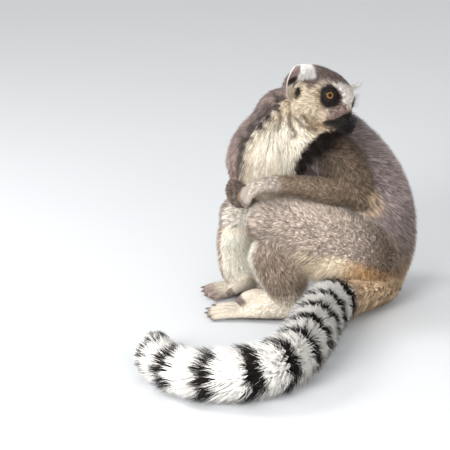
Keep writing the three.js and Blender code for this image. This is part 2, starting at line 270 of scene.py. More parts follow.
# ---- Paths and lofts ---------------------------------------------
def spline(rows, t):
    """A uniform Catmull-Rom curve through rows, at shares t of it: each span blends its four nearest rows."""
    spans = len(rows) - 1
    ends = np.vstack([2 * rows[0] - rows[1], rows, 2 * rows[-1] - rows[-2]])
    x = np.clip(t * spans, 0, spans - 1e-9)
    i = x.astype(int)
    u = (x - i)[:, None]
    a, b, c, d = ends[i], ends[i + 1], ends[i + 2], ends[i + 3]
    return 0.5 * (2 * b + (c - a) * u + (2 * a - 5 * b + 4 * c - d) * u ** 2
                  + (3 * b - a - 3 * c + d) * u ** 3)


def sections(p, t):
    """Centre, tangent, width and height directions, half width and half height of a part at shares t."""
    body = spline(p["rows"], t)
    step = 1e-3
    path = p["rows"][:, :3]
    tangent = unit(spline(path, np.clip(t + step, 0, 1)) - spline(path, np.clip(t - step, 0, 1)))
    turn = np.radians(p["twist"]) * t
    x, y, z = p["side"]
    side = np.stack([x * np.cos(turn) - y * np.sin(turn), x * np.sin(turn) + y * np.cos(turn),
                     z + 0 * turn], 1)
    across = unit(side - (side * tangent).sum(1, keepdims=True) * tangent)
    return body[:, :3], tangent, across, np.cross(tangent, across), body[:, 3], body[:, 4]


def grid_faces(rings, around, start=0):
    """Quads between equal rings, closed by a fan at each end. Point 0 and the last are the poles."""
    i, j = np.meshgrid(np.arange(rings - 1), np.arange(around), indexing="ij")
    k = (j + 1) % around
    at = lambda ring, side: start + 1 + ring * around + side
    quads = np.stack([at(i, j), at(i, k), at(i + 1, k), at(i + 1, j)], -1).reshape(-1, 4)
    j = np.arange(around)
    k = (j + 1) % around
    last = start + 1 + rings * around
    caps = np.concatenate([np.stack([j * 0 + start, at(0, k), at(0, j)], 1),
                           np.stack([j * 0 + last, at(rings - 1, j), at(rings - 1, k)], 1)])
    return quads, caps


def loft(p, rings=5):
    """The skin of one part: its oval sections, less the coat's depth, with ends as quarter ellipses."""
    share = np.linspace(0, 1, p["steps"] * (len(p["rows"]) - 1) + 1)
    angle = np.arange(1, rings + 1) / (rings + 1) * np.pi / 2
    t = np.concatenate([0 * angle, share, 0 * angle + 1])
    scale = np.concatenate([np.cos(angle)[::-1], 1 + 0 * share, np.cos(angle)])
    push = np.concatenate([-p["dome"][0] * np.sin(angle)[::-1], 0 * share, p["dome"][1] * np.sin(angle)])
    centre, tangent, across, upright, w, h = sections(p, t)
    depth = np.interp(t, np.linspace(0, 1, len(p["depth"])), p["depth"])
    w, h = np.maximum(w - depth, 1.5), np.maximum(h - depth, 1.5)
    centre = centre + tangent * (push * np.minimum(w, h))[:, None]
    a = np.arange(p["around"]) / p["around"] * 2 * np.pi
    ring = (centre[:, None] + (scale * w)[:, None, None] * np.cos(a)[None, :, None] * across[:, None]
            + (scale * h)[:, None, None] * np.sin(a)[None, :, None] * upright[:, None])
    c, tg, _, _, we, he = sections(p, np.array([0.0, 1.0]))
    radius = np.minimum(we, he) - p["depth"][[0, -1]]
    ends = c + tg * (radius * np.array([-p["dome"][0], p["dome"][1]]))[:, None]
    points = np.concatenate([ends[:1], ring.reshape(-1, 3), ends[1:]])
    quads, caps = grid_faces(len(t), p["around"])
    return points, quads, caps


# ---- Where a point lies on the body ------------------------------
def nearness(points):
    """For each point and part: how far it is outside the part's oval, its share of the path and its two
    bearings in the oval. The nearest of the part's sections is found by plain distance."""
    count = len(points)
    out = {key: np.zeros((count, len(NAMES))) for key in ("far", "t", "out", "high")}
    for k, name in enumerate(NAMES):
        p = PARTS[name]
        t = np.linspace(0, 1, 8 * (len(p["rows"]) - 1) + 1)
        centre, tangent, across, upright, w, h = sections(p, t)
        if name == "skull":
            centre, tangent = from_head(centre), tangent @ HEAD_MATRIX.T
            across, upright = across @ HEAD_MATRIX.T, upright @ HEAD_MATRIX.T
        run = np.linalg.norm(np.diff(centre, axis=0), axis=1).sum()
        for lot in np.array_split(np.arange(count), max(1, count // 20000)):  # in lots, to spare memory
            q = points[lot]
            gap = (q ** 2).sum(1)[:, None] - 2 * q @ centre.T + (centre ** 2).sum(1)[None]
            i = gap.argmin(1)
            d = q - centre[i]
            a, b, c = ((d * v[i]).sum(1) for v in (across, upright, tangent))
            size = np.sqrt((a / w[i]) ** 2 + (b / h[i]) ** 2 + (c / np.minimum(w, h)[i]) ** 2)
            out["far"][lot, k] = (size - 1) * np.minimum(w, h)[i]
            out["t"][lot, k] = np.clip(t[i] + c / run, 0, 1)
            out["out"][lot, k] = a / w[i]
            out["high"][lot, k] = b / h[i]
    size = np.sqrt(out["out"] ** 2 + out["high"] ** 2) + 1e-9
    out["out"], out["high"] = out["out"] / size, out["high"] / size
    return out


COAT_BLEND, TONE_BLEND, JOIN_BLEND = 3.0, 1.6, 9.0  # over which lengths, colours and softened joins blend
LEAST = 0.01  # a part whose share is under this isn't worked out


def shares(near, softness):
    """How much each part counts at each point: shares that fall off with the distance from it."""
    w = np.exp(-(near["far"] - near["far"].min(1, keepdims=True)) / softness)
    return w / w.sum(1, keepdims=True)


def part_flow(name, t, points):
    """The way the hair lies on a part: along its path, or back from the nose on the head, with some droop."""
    p = PARTS[name]
    if name == "skull":
        h = in_head(points)
        low = rise(-h[:, 2], 2, 24)
        side = rise(np.abs(h[:, 0]), 6, 26)
        flow = np.stack([0.35 * side * np.sign(h[:, 0]), 1 + 0 * low, -0.75 * low - 0.15 * side], 1)
        return flow @ HEAD_MATRIX.T
    tangent = sections(p, t)[1]
    return unit(p["along"] * tangent + p["droop"] * np.array([0, 0, -1.0]))


def coat_at(points, near):
    """Flow, hair length, coat depth, width, lock size and gather at each point, blended over the parts."""
    w = shares(near, COAT_BLEND)
    flow = np.zeros_like(points)
    values = np.zeros((len(points), 5))
    for k, name in enumerate(NAMES):
        p = PARTS[name]
        here = np.nonzero(w[:, k] > LEAST)[0]
        t = near["t"][here, k]
        at = np.linspace(0, 1, len(p["depth"]))
        rows = np.stack([np.interp(t, at, p["length"]), np.interp(t, at, p["depth"]), p["width"] + 0 * t,
                         p["clump"] + 0 * t, p["gather"] + 0 * t], 1)
        values[here] += w[here, k, None] * rows
        flow[here] += w[here, k, None] * part_flow(name, t, points[here])
    return unit(flow), values / w.sum(1, keepdims=True)


# ---- Markings ----------------------------------------------------
def linear(red, green, blue):
    """A colour of 0 to 255 steps as the shader's linear light."""
    c = np.array([red, green, blue]) / 255
    return tuple(float(v) for v in np.where(c <= 0.04045, c / 12.92, ((c + 0.055) / 1.055) ** 2.4))


def number(name, description, default, low, high, **kind):
    """A size, angle or share that the user can change."""
    return bpy.props.FloatProperty(name=name, description=description, default=default, min=low, max=high,
                                   **kind)


def tone(name, description, *steps):
    """A colour that the user can change."""
    return bpy.props.FloatVectorProperty(name=name, description=description, subtype="COLOR", size=3,
                                         min=0, max=1, default=linear(*steps))


class LemurTones(bpy.types.PropertyGroup):
    """Colours of the coat and the bare skin."""
    crown: tone("Crown", "Grizzled cap between the ears", 98, 85, 80)
    nape: tone("Nape", "Back of the neck", 119, 104, 99)
    brow: tone("Brow", "Pale band over the eyes and down the bridge of the nose", 229, 218, 209)
    cheek: tone("Cheek", "Cheeks and sides of the neck", 188, 172, 151)
    patch: tone("Eye patch", "Dark ring round the eye", 36, 28, 26)
    eye_fade: tone("Behind the eye", "Olive brown that fades from the eye patch", 136, 118, 96)
    muzzle_side: tone("Muzzle side", "Mauve skin between eye patch and lips", 114, 97, 91)
    muzzle: tone("Muzzle", "Black lips, chin and nose", 22, 19, 18)
    throat: tone("Throat", "Under the jaw", 178, 152, 118)
    ear_hair: tone("Ear hair", "Fringe and tuft of the ears", 250, 245, 240)
    ear_skin: tone("Ear skin", "Bare inside of the ears", 146, 127, 120)
    chest: tone("Chest", "Breast and belly", 234, 223, 204)
    shoulder: tone("Shoulder", "Dark cape over the shoulder blades", 50, 42, 39)
    back: tone("Back", "Middle of the back", 144, 130, 127)
    loin: tone("Loin", "Low on the flank", 136, 119, 106)
    rump: tone("Rump", "Warm brown at the root of the tail", 158, 126, 92)
    arm: tone("Arm", "Outside of the forearm", 114, 98, 83)
    hand: tone("Hand", "Backs of the hands", 178, 165, 153)
    thigh: tone("Thigh", "Outside of the thigh", 176, 161, 149)
    thigh_rear: tone("Haunch", "Rear of the thigh", 152, 134, 118)
    shank: tone("Shank", "Outside of the lower leg", 158, 140, 124)
    inner: tone("Inner leg", "Inside of legs and arms", 246, 237, 222)
    foot: tone("Foot", "Tops of the feet", 224, 211, 192)
    leather: tone("Leather", "Bare toes and pads", 66, 56, 51)
    toe_grey: tone("Toes", "Grey-brown skin of the big toe and the far toes", 134, 119, 111)
    tail_base: tone("Tail base", "Pale ringless root of the tail", 190, 164, 134)
    ring_dark: tone("Dark rings", "Black rings of the tail", 30, 26, 25)
    ring_pale: tone("Pale rings", "White rings of the tail", 246, 242, 236)


def palette():
    """The tones as arrays."""
    tones = bpy.context.scene.lemur_tones
    return {name: np.array(getattr(tones, name)) for name in LemurTones.__annotations__}


def mix(a, b, x):
    """From a where x is 0 to b where x is 1."""
    return a + (b - a) * x[:, None]


def along_tones(t, stops):
    """A run of tones along a path: each is reached at its share, and they blend between."""
    at = [s for s, _ in stops]
    return np.stack([np.interp(t, at, [c[i] for _, c in stops]) for i in range(3)], 1)


def one_side(h):
    """Points of the head's frame with the right half laid over on the left, since both are alike."""
    return np.stack([np.abs(h[:, 0]), h[:, 1], h[:, 2]], 1)


# Edges of the head's markings, each a line through a few places: one figure of the head's frame over another
CROWN_EDGE = ([0, 4, 12.6, 18, 24.4, 27.8, 31, 36], [21.5, 21.5, 21.3, 19.6, 15.5, 11.5, 8, 5])  # z over x
LIP_EDGE = ([-54, -49.5, -48.8, -46.5, -43.9, -39.5, -31.5, -26.2],  # y, and height
            [0, -1.7, -5.2, -9, -13, -17.7, -21.8, -25.3])
JAW_EDGE = ([-50, -46, -38.5, -31, -25.4], [-45, -29.5, -30.4, -29.8, -27.7])
PATCH_EDGE = ([-180, -146, -107, -67, -20, 14, 60, 101, 126, 155, 180],  # bearing round the eye, and radius
              [14.4, 14.0, 17.2, 17.6, 18.6, 18.6, 16.6, 15.0, 17.4, 15.6, 14.4])
PATCH_MIDDLE = (27.3, -30.4, 5.5)  # of the dark ring round the eye
JOWL = ([24, -10, -34], [11, 12, 10])  # warm shade behind the mouth: place and radii
# Painted shade: the dark hollow in front of the ear, with its place and radii.
EAR_NOTCH_SHADE = ([35.5, 5, -5.5], [10, 5.2, 7.6])  # dark hollow in front of the ear: place and radii


def mound(points, place, radii):
    """A soft spot: exp(-r^2), r being the distance from its place in its radii."""
    return np.exp(-(((points - np.array(place)) / radii) ** 2).sum(1))


def head_tones(h, c):
    """Markings of the head: a dark cap, a pale brow and cheeks, a ring round each eye and a black muzzle.

    h are points in the head's frame. Each marking's edge is a smooth step over a distance from a place.
    """
    folded = one_side(h)
    x, y, z = folded.T
    grain = 1.2 * np.sin(1.9 * h[:, 0] + 1.3 * y) * np.sin(1.7 * z + 0.9 * y)
    tones = mix(c["cheek"], c["brow"], rise(z - 0.25 * y, 6, 18))
    tones = mix(tones, c["throat"], rise(-z - 0.35 * y, 27, 40) * rise(-y, -12, 14))
    edge = np.interp(x, *CROWN_EDGE) - 1.2 * np.clip(y + 10, 0, 5) + 0.8 * np.clip(y + 6, 0, 6)
    crown = rise(z + 0.8 * grain - edge, -1.4, 1.6)
    back = rise(y + grain, 10, 20) * rise(z, -26, -10)
    tones = mix(tones, c["crown"], np.maximum(crown, back))
    tones = mix(tones, 0.5 * c["throat"] + 0.3 * c["muzzle_side"], 0.8 * mound(folded, *JOWL))
    tones = mix(tones, c["muzzle_side"], rise(-y, 26, 36) * rise(x, 3.5, 7.5) * rise(-z, -6, 1))
    tones = mix(tones, 0.45 * c["muzzle_side"], rise(-y, 45.5, 48) * rise(-z, -5, -1))
    _, ey, ez = (folded - PATCH_MIDDLE).T
    away = np.linalg.norm(folded - PATCH_MIDDLE, axis=1)
    reach = np.interp(np.degrees(np.arctan2(ez, -ey)), *PATCH_EDGE)
    behind = (1 - rise(away, reach, reach + 10)) * rise(ey, -1, 8) * rise(-ez, -18, -8)
    tones = mix(tones, c["eye_fade"], 0.85 * behind)
    far = np.where(h[:, 0] > 0.5, 9.0, 0) * rise(-ey, 4, 9) * rise(-np.abs(z - 4), -7, -3)
    ring = 1 - rise(away + 0.8 * grain, reach + far - 4.0, reach + far + 1.8)
    tones = mix(tones, c["patch"], ring)
    # Painted shade in the hollow in front of the ear.
    notch = np.linalg.norm((folded - EAR_NOTCH_SHADE[0]) / EAR_NOTCH_SHADE[1], axis=1)
    tones = mix(tones, 0.3 * c["patch"], 1 - rise(notch + 0.1 * grain, 0.85, 1.2))
    top = np.interp(y, *LIP_EDGE)
    black = rise(top - z + 0.4 * grain, -1.2, 1.4) * rise(z - np.interp(y, *JAW_EDGE), -1.5, 1.2)
    black = black * (1 - rise(y, -29, -25))
    return mix(tones, c["muzzle"], np.maximum(black, rise(-y, 51, 53)))


# Painted shade: the dark line drawn along each wrinkle of cheek and throat, and its width.
FOLD_SHADE_WIDTH = 2.9  # of the dark line that marks a wrinkle


def fold_gap(h):
    """Distance from the nearest wrinkle of cheek and throat, of which only a fifth counts on the way out."""
    out = unit(np.array([0.85, -0.5, 0.05]))
    flat = np.eye(3) - 0.8 * np.outer(out, out)
    return np.min([segment_gap(one_side(h) @ flat, np.array(line) @ flat)[0] for line in FOLDS], axis=0)


# The cape's two edges on the breast: distance along ACROSS over height, beyond which the coat is dark
CAPE_BEARING = math.radians(72)  # of the side on which the breast shows
ACROSS = np.array([math.cos(CAPE_BEARING), math.sin(CAPE_BEARING), 0.0])
TOWARD = np.array([math.sin(CAPE_BEARING), -math.cos(CAPE_BEARING), 0.0])
CAPE_FAR = ([152, 178, 199, 211, 222, 242, 253, 261, 265, 275],
            [-89, -85, -79, -71, -63, -50, -42, -33, -28, -19])
CAPE_NEAR = ([165, 183, 192, 201.5, 210, 217, 222, 232, 246, 262],
             [-34, -30.4, -27, -21.5, -13.5, -4.4, 12, 26, 46, 80])
TORSO = [NAMES.index(n) for n in ("neck", "bib", "trunk", "upper_arm_left", "upper_arm_right")]


def cape(points, tones, w, c):
    """Lays the dark cape over neck, breast and shoulders, on both sides of the pale throat and breast, with
    painted shadow of the head on its near side under the chin.
    """
    body = w[:, TORSO].sum(1)
    s, z = points @ ACROSS, points[:, 2]
    from_far, from_near = s - np.interp(z, *CAPE_FAR), np.interp(z, *CAPE_NEAR) - s
    open_side = rise(points @ TOWARD, -12, 0) * rise(z, 160, 172) * body
    inside = rise(from_far, -1.5, 2) * rise(from_near, -2, 3) * open_side
    high_or_low = np.maximum(rise(z, 214, 240), 0.45 * rise(-z, -196, -166))
    pale = mix(c["chest"] + 0 * tones, c["cheek"], high_or_low)
    pale = mix(pale, 0.6 * c["throat"] + 0.4 * c["cheek"], 0.6 * (1 - rise(from_far, 0, 9)))
    pale = mix(pale, 0.5 * c["throat"] + 0.5 * c["cheek"], rise(s, -28, -8) * rise(z, 205, 225))
    tones = mix(tones, pale, inside)
    ragged = (2.4 * np.sin(0.55 * z + 0.2 * points[:, 0]) + 1.8 * np.sin(1.3 * z + 2)
              + 1.2 * np.sin(2.9 * z + 1))
    beyond = ragged - from_far
    far = rise(beyond, -1.5, 3.0) * rise(z, 140, 155) * body
    dark_rim = c["nape"] + (1.3 * c["shoulder"] - c["nape"]) * (1 - rise(z, 250, 262))[:, None]
    side_tone = c["nape"] * (1.65 - 0.6 * rise(z, 170, 205))[:, None]
    far_tone = mix(dark_rim + 0 * tones, side_tone, rise(beyond, 5, 13))
    tones = mix(tones, far_tone, far)
    beyond = ragged - from_near
    # The near side's darkest stretch under the chin: the cape's dark fur, darkened further by painted shadow
    # of the head.
    band = np.interp(z, [170, 188, 204], [4, 10, 22])  # how wide the near side's darkest stretch is
    near = (rise(beyond, -2, 3) * (1 - rise(z, 226, 234)) * rise(points[:, 0], 18, 26) * rise(z, 160, 170)
            * (1 - rise(beyond - band, 0, 15)) * body)
    return mix(tones, 0.42 * c["shoulder"], near)


def tail_length(t):
    """Length along the tail at shares t of its curve, summed over short straight steps."""
    at = np.linspace(0, 1, 240)
    path = spline(PARTS["tail"]["rows"][:, :3], at)
    return np.interp(t, at, np.concatenate([[0], np.cumsum(np.linalg.norm(np.diff(path, axis=0), axis=1))]))


def even(tone, t):
    """The same tone for every point."""
    return tone + np.zeros((len(t), 3))


def neck_tones(t, out, high, c):
    """Cream in front and grey behind: the front turns by a quarter round the oval on the way up."""
    turn = np.radians(-90 + 90 * t)
    front = out * np.cos(turn) + high * np.sin(turn)
    cream = mix(c["cheek"], c["chest"], rise(-t, -0.75, -0.2))
    return mix(c["nape"] * 0.8 + 0 * cream, cream, rise(front, -0.55, -0.2))


def trunk_tones(t, out, high, c):
    """A warm rump, a grey back with a paler saddle, dark shoulders, a tan fold by the elbow, a pale belly."""
    back = along_tones(t, [(0, c["rump"]), (0.16, c["loin"]), (0.35, c["back"]), (0.44, 1.35 * c["back"]),
                           (0.54, 1.1 * c["back"]), (0.64, 0.8 * c["back"]),
                           (0.8, 0.45 * c["back"] + 0.55 * c["shoulder"]), (1, c["shoulder"])])
    saddle = rise(high, 0.4, 0.85) * rise(t, 0.42, 0.55) * (1 - rise(t, 0.68, 0.8))
    back = back * (1 + 0.35 * saddle)[:, None]
    tan = rise(t, 0.4, 0.44) * (1 - rise(t, 0.48, 0.54)) * rise(out, 0.8, 0.95) * rise(-high, -0.1, 0.15)
    back = mix(back, 1.1 * c["tail_base"], 0.65 * tan)
    flank = high + 0.25 * np.abs(out) + 0.6 * rise(out, 0.2, 0.6) * rise(t, 0.5, 0.65)
    return mix(c["chest"] + 0 * back, back, rise(flank, -0.45, -0.1))


def tail_tones(t, out, high, c):
    """A pale root without rings, then dark and white ragged rings, softest near the root, and a black tip."""
    length = tail_length(t)
    wave = (2.4 * np.sin(9 * out + 2 * high) + 1.8 * np.sin(17 * high + 5 * out)
            + 1.2 * np.sin(31 * out + 3))
    beat = (length + wave - FIRST_RING) / RING_STEP
    fade = 1 - rise(length, *RINGS_SOFT_TO)
    edge = 0.3 + (0.12 + 0.24 * high) * fade
    soft = 0.16 + 0.1 * fade * rise(high, 0, 0.9)
    dark = rise((np.cos(2 * np.pi * beat) - edge) / soft, -1, 1) * rise(beat, -0.5, -0.3)
    dark = np.maximum(dark, rise(t, *BLACK_TIP))
    base = mix(even(c["rump"], t), c["tail_base"], rise(length, *WARM_TO))
    base = mix(base, c["ring_pale"], rise(length, *RINGLESS_TO))
    return mix(base, c["ring_dark"], dark)


def thigh_tones(t, out, high, near_side, c):
    """Grey outside with its top lightened by painted light, creamy and warm under the haunch, pale inside,
    with painted shade in the gap by the shank.
    """
    outer = along_tones(t, [(0, c["thigh_rear"]), (0.35, 0.95 * c["thigh"]), (0.75, c["thigh"]),
                            (1, 0.85 * c["thigh"])])
    warm = 0.5 * (c["rump"] + c["tail_base"])
    # The cream under the haunch is its own colour, brightened beyond it by painted light where the underside
    # lies in shade.
    cream = along_tones(t, [(0.02, 1.6 * c["rump"]), (0.16, 2.1 * c["rump"]), (0.27, 1.6 * warm),
                            (0.38, 1.6 * c["cheek"]), (0.47, 1.55 * c["cheek"]), (0.58, 1.2 * c["cheek"])])
    under = rise(-high - 0.3 * rise(t, 0.4, 0.55), 0.05, 0.42) * (1 - rise(t, 0.6, 0.72))
    # Painted light: the thigh's top is lightened where the forearm shades it.
    painted_light_top = rise(high, 0.45, 0.85) * rise(t, 0.3, 0.5) * (1 - rise(t, 0.7, 0.85))
    low = mix(outer, cream, under) * (1 + 0.4 * painted_light_top)[:, None]
    # Painted shade: a dark stripe low on the haunch, in the gap by the shank.
    low = mix(low, 0.3 * c["rump"], 0.7 * rise(-high, 0.8, 0.97) * rise(t, 0.46, 0.54))
    inside = c["inner"] if near_side else c["inner"] * (1 - 0.35 * rise(t, 0.7, 0.9))[:, None]
    return mix(low, inside, rise(-out if near_side else out, 0.25, 0.65))


def shank_tones(t, out, near_side, c):
    """Grey outside and pale inside, ending in the foot's tone; the far leg's inside is brightened past the
    inner tone by painted light.
    """
    outer = along_tones(t, [(0, c["thigh"]), (0.3, c["shank"]), (0.75, c["shank"]), (1, c["foot"] * 0.9)])
    if near_side:
        return mix(outer, c["inner"], rise(-out, -0.5, 0.2))
    # Painted light: the far leg's shaded inside is brightened past the inner tone.
    return mix(outer, c["inner"] * [1.2, 1.1, 1.05], rise(out, 0.0, 0.45))


def toe_tones(name, t, z, near_side, c):
    """Furred toes with bare pads; the big toes and the far toes end in bare grey skin."""
    big, under = name.endswith("5"), rise(-z, -4.2, -2.2)
    if near_side and not big:
        return mix(even(c["foot"], t), c["leather"], np.maximum(0.5 * rise(t, 0.9, 1.0), under))
    tip = rise(t, 0.84, 0.95) if big else rise(t, 0.45, 0.75)
    top = c["foot"] * (1 if near_side else 0.85)
    return mix(even(top, t), c["toe_grey"] * (0.9 if big else 1.5), np.maximum(tip, under))


def upper_arm_tones(t, out, high, near_side, c):
    """Dark from the shoulder, grey to the elbow, tan at the near one, and paler inside."""
    outer = along_tones(t, [(0, c["shoulder"]), (0.4, 0.4 * c["shoulder"] + 0.75 * c["arm"]), (1, c["arm"])])
    if near_side:
        outer = mix(outer, c["tail_base"], 0.85 * rise(t, 0.84, 0.96) * rise(-high, 0.0, 0.3))
    return mix(outer, c["inner"], 0.5 * rise(-out if near_side else out, 0.5, 0.9))


def forearm_tones(t, near_side, c):
    """Grey, browner at the elbow and paler at the wrist."""
    outer = along_tones(t, [(0, c["arm"] * 0.85), (0.3, c["arm"]), (0.88, c["arm"] * 1.15),
                            (1, c["hand"] * 0.75)])
    return outer if near_side else outer + 0.55 * c["back"]


def part_tones(name, t, out, high, points, c):
    """Markings of one part. out is +1 at the end of the oval's width and high at the end of its height."""
    kind = name.split("_left")[0].split("_right")[0]
    near_side = "_left" in name
    if name == "skull":
        return head_tones(in_head(points), c)
    if name == "neck":
        return neck_tones(t, out, high, c)
    if name == "trunk":
        return trunk_tones(t, out, high, c)
    if name == "bib":
        return mix(even(c["chest"], t), 0.45 * c["throat"] + 0.55 * c["chest"], 0.8 * rise(t, 0.55, 1.0))
    if name == "tail":
        return tail_tones(t, out, high, c)
    if kind == "thigh":
        return thigh_tones(t, out, high, near_side, c)
    if kind == "shank":
        return shank_tones(t, out, near_side, c)
    if kind == "sole":
        return mix(even(c["foot"] * (1 if near_side else 0.92), t), c["leather"], rise(-points[:, 2], -7, -4))
    if kind == "toe":
        return toe_tones(name, t, points[:, 2], near_side, c)
    if kind == "upper_arm":
        return upper_arm_tones(t, out, high, near_side, c)
    if kind == "forearm":
        return forearm_tones(t, near_side, c)
    if kind == "finger":
        return mix(even(c["hand"], t), c["toe_grey"], 0.5 * rise(t, 0.6, 1.0))
    knuckles = c["hand"] if near_side else 2.1 * c["arm"]
    return mix(even(c["hand"] * 0.75, t), knuckles, rise(t, 0.1, 0.5))


def markings(points, near):
    """The colour of the coat at each point: the parts' markings, blended where they meet, then the cape.

    Dark fur is mottled by products of sines, and painted shade is drawn last as dark lines along the
    wrinkles.
    """
    c = palette()
    w = shares(near, TONE_BLEND)
    tones = np.zeros((len(points), 3))
    for k, name in enumerate(NAMES):
        here = np.nonzero(w[:, k] > LEAST)[0]
        if len(here):
            tones[here] += w[here, k, None] * part_tones(
                name, near["t"][here, k], near["out"][here, k], near["high"][here, k], points[here], c)
    tones = cape(points, tones / w.sum(1, keepdims=True), w, c)
    x, y, z = points.T
    mottle = (np.sin(0.62 * x + 0.31 * y + 0.15 * z) * np.sin(0.5 * z - 0.42 * y + 0.2 * x)
              + 0.7 * np.sin(1.1 * y - 0.8 * x + 0.4 * z) * np.sin(0.9 * z + 0.7 * x))
    tones = tones * (1 + 0.16 * mottle * (1 - rise(tones.mean(1), 0.3, 0.6)))[:, None]
    h = in_head(points)
    # Painted shade along the wrinkles: the colour is darkened towards a dark brown near each fold.
    line = np.exp(-(fold_gap(h) / FOLD_SHADE_WIDTH) ** 2) * rise(-h[:, 1], -30, -20) * rise(h[:, 2], -62, -56)
    return np.clip(mix(tones, c["throat"] * 0.2, 0.95 * line), 0.002, 1)


# ---- Meshes and materials ----------------------------------------
def mesh_object(name, points, polygons, smooth=True):
    """A new object from millimetre points and a list of index arrays, each of one polygon size."""
    mesh = bpy.data.meshes.new(name)
    flat = np.concatenate([p.reshape(-1) for p in polygons]).astype(np.int32)
    sizes = np.concatenate([np.full(len(p), p.shape[1]) for p in polygons])
    mesh.vertices.add(len(points))
    mesh.vertices.foreach_set("co", to_world(points).astype(np.float32).reshape(-1))
    mesh.loops.add(len(flat))
    mesh.loops.foreach_set("vertex_index", flat)
    mesh.polygons.add(len(sizes))
    mesh.polygons.foreach_set("loop_start", np.concatenate([[0], np.cumsum(sizes)[:-1]]).astype(np.int32))
    mesh.polygons.foreach_set("use_smooth", np.full(len(sizes), smooth))
    mesh.update(calc_edges=True)
    mesh.validate()
    piece = bpy.data.objects.new(name, mesh)
    bpy.context.scene.collection.objects.link(piece)
    return piece


def vertex_array(mesh):
    """The mesh's points in construction millimetres."""
    co = np.empty(len(mesh.vertices) * 3, np.float32)
    mesh.vertices.foreach_get("co", co)
    return co.reshape(-1, 3).astype(float) / MM + SEAT


def put_vertices(mesh, points):
    """Writes construction millimetres back into the mesh."""
    mesh.vertices.foreach_set("co", to_world(points).astype(np.float32).reshape(-1))
    mesh.update()


def vertex_normals(mesh):
    """Outward normals of the points."""
    n = np.empty(len(mesh.vertices) * 3, np.float32)
    mesh.vertices.foreach_get("normal", n)
    return unit(n.reshape(-1, 3).astype(float))


def paint(mesh, tones):
    """Stores one linear colour for each point as the attribute Coat."""
    layer = mesh.attributes.new("Coat", "FLOAT_COLOR", "POINT")
    full = np.column_stack([tones, np.ones(len(tones))])
    layer.data.foreach_set("color", full.astype(np.float32).reshape(-1))


def new_material(name):
    """An empty node material: its node tree and Principled shader."""
    material = bpy.data.materials.new(name)
    material.use_nodes = True
    tree = material.node_tree
    return material, tree, tree.nodes["Principled BSDF"]


def node(tree, kind, **settings):
    """Adds a node. Settings that name an input set its value, and the others are its properties."""
    made = tree.nodes.new(kind)
    for key, value in settings.items():
        if key in made.inputs:
            made.inputs[key].default_value = value
        else:
            setattr(made, key, value)
    return made


def textured(tree, kind, **settings):
    """Adds a texture that lies in the piece's own coordinates."""
    place = node(tree, "ShaderNodeTexCoord")
    texture = node(tree, kind, **settings)
    tree.links.new(place.outputs["Object"], texture.inputs["Vector"])
    return texture


def two_tones(tree, shader, texture, low, high):
    """Colours the shader from low to high by a texture."""
    ramp = node(tree, "ShaderNodeValToRGB")
    ramp.color_ramp.elements[0].color = (*low, 1)
    ramp.color_ramp.elements[1].color = (*high, 1)
    tree.links.new(texture.outputs["Fac"], ramp.inputs["Fac"])
    tree.links.new(ramp.outputs["Color"], shader.inputs["Base Color"])


def painted(tree, shader, noise, seen, light):
    """Colours the shader with the stored markings, times a shade that goes with the noise seen."""
    markings_node = node(tree, "ShaderNodeAttribute", attribute_name="Coat")
    ramp = node(tree, "ShaderNodeMapRange", **{"From Min": seen[0], "From Max": seen[1], "To Min": light[0],
                                               "To Max": light[1]})
    tint = node(tree, "ShaderNodeMix", data_type="RGBA", blend_type="MULTIPLY", Factor=1.0)
    tree.links.new(noise.outputs["Fac"], ramp.inputs["Value"])
    tree.links.new(markings_node.outputs["Color"], tint.inputs[6])
    tree.links.new(ramp.outputs["Result"], tint.inputs[7])
    tree.links.new(tint.outputs[2], shader.inputs["Base Color"])


def pebbled(tree, shader, scale, strength, distance):
    """Bumps the shader with small cells."""
    cells = textured(tree, "ShaderNodeTexVoronoi", Scale=scale)
    bump = node(tree, "ShaderNodeBump", Strength=strength, Distance=distance)
    tree.links.new(cells.outputs["Distance"], bump.inputs["Height"])
    tree.links.new(bump.outputs["Normal"], shader.inputs["Normal"])


def surface(shader, **settings):
    """Sets the shader's finish. A name's underscores stand for spaces."""
    for key, value in settings.items():
        shader.inputs[key.replace("_", " ")].default_value = value


def hair_material():
    """The coat: its own markings, streaked by a fine noise, with a soft dull sheen."""
    material, tree, shader = new_material("lemur_coat")
    noise = textured(tree, "ShaderNodeTexNoise", Scale=420.0, Detail=2.0)
    painted(tree, shader, noise, (0.3, 0.7), (0.84, 1.12))
    surface(shader, Roughness=0.72, Specular_IOR_Level=0.18, Sheen_Weight=0.03, Sheen_Roughness=0.5)
    return material


def skin_material():
    """The skin and its shortest fur: the markings, streaked by noise, with a fine grain of hair in bump."""
    material, tree, shader = new_material("lemur_skin")
    noise = textured(tree, "ShaderNodeTexNoise", Scale=1100.0, Detail=3.0, Roughness=0.7)
    painted(tree, shader, noise, (0.0, 1.0), (0.62, 1.12))
    pebbled(tree, shader, 900.0, 0.55, 0.0006)
    surface(shader, Roughness=0.7, Specular_IOR_Level=0.25)
    return material


def leather_material(name, steps, roughness, scale):
    """Bare leathery skin: one dark tone mottled by noise, with a pebbled bump."""
    material, tree, shader = new_material(name)
    noise = textured(tree, "ShaderNodeTexNoise", Scale=260.0, Detail=4.0)
    middle = np.array(linear(*steps))
    two_tones(tree, shader, noise, middle * 0.6, middle * 1.7)
    pebbled(tree, shader, scale, 0.5, 0.0004)
    surface(shader, Roughness=roughness)
    return material


# ---- Skin --------------------------------------------------------
def eye_places():
    """Each eye's centre and radius in construction millimetres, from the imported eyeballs."""
    places = {}
    for side in ("left", "right"):
        low, high = (np.array(corner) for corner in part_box("eye_" + side))
        places[side] = ((low + high) / 2 / MM + SEAT, float((high - low).mean()) / 2 / MM)
    return places


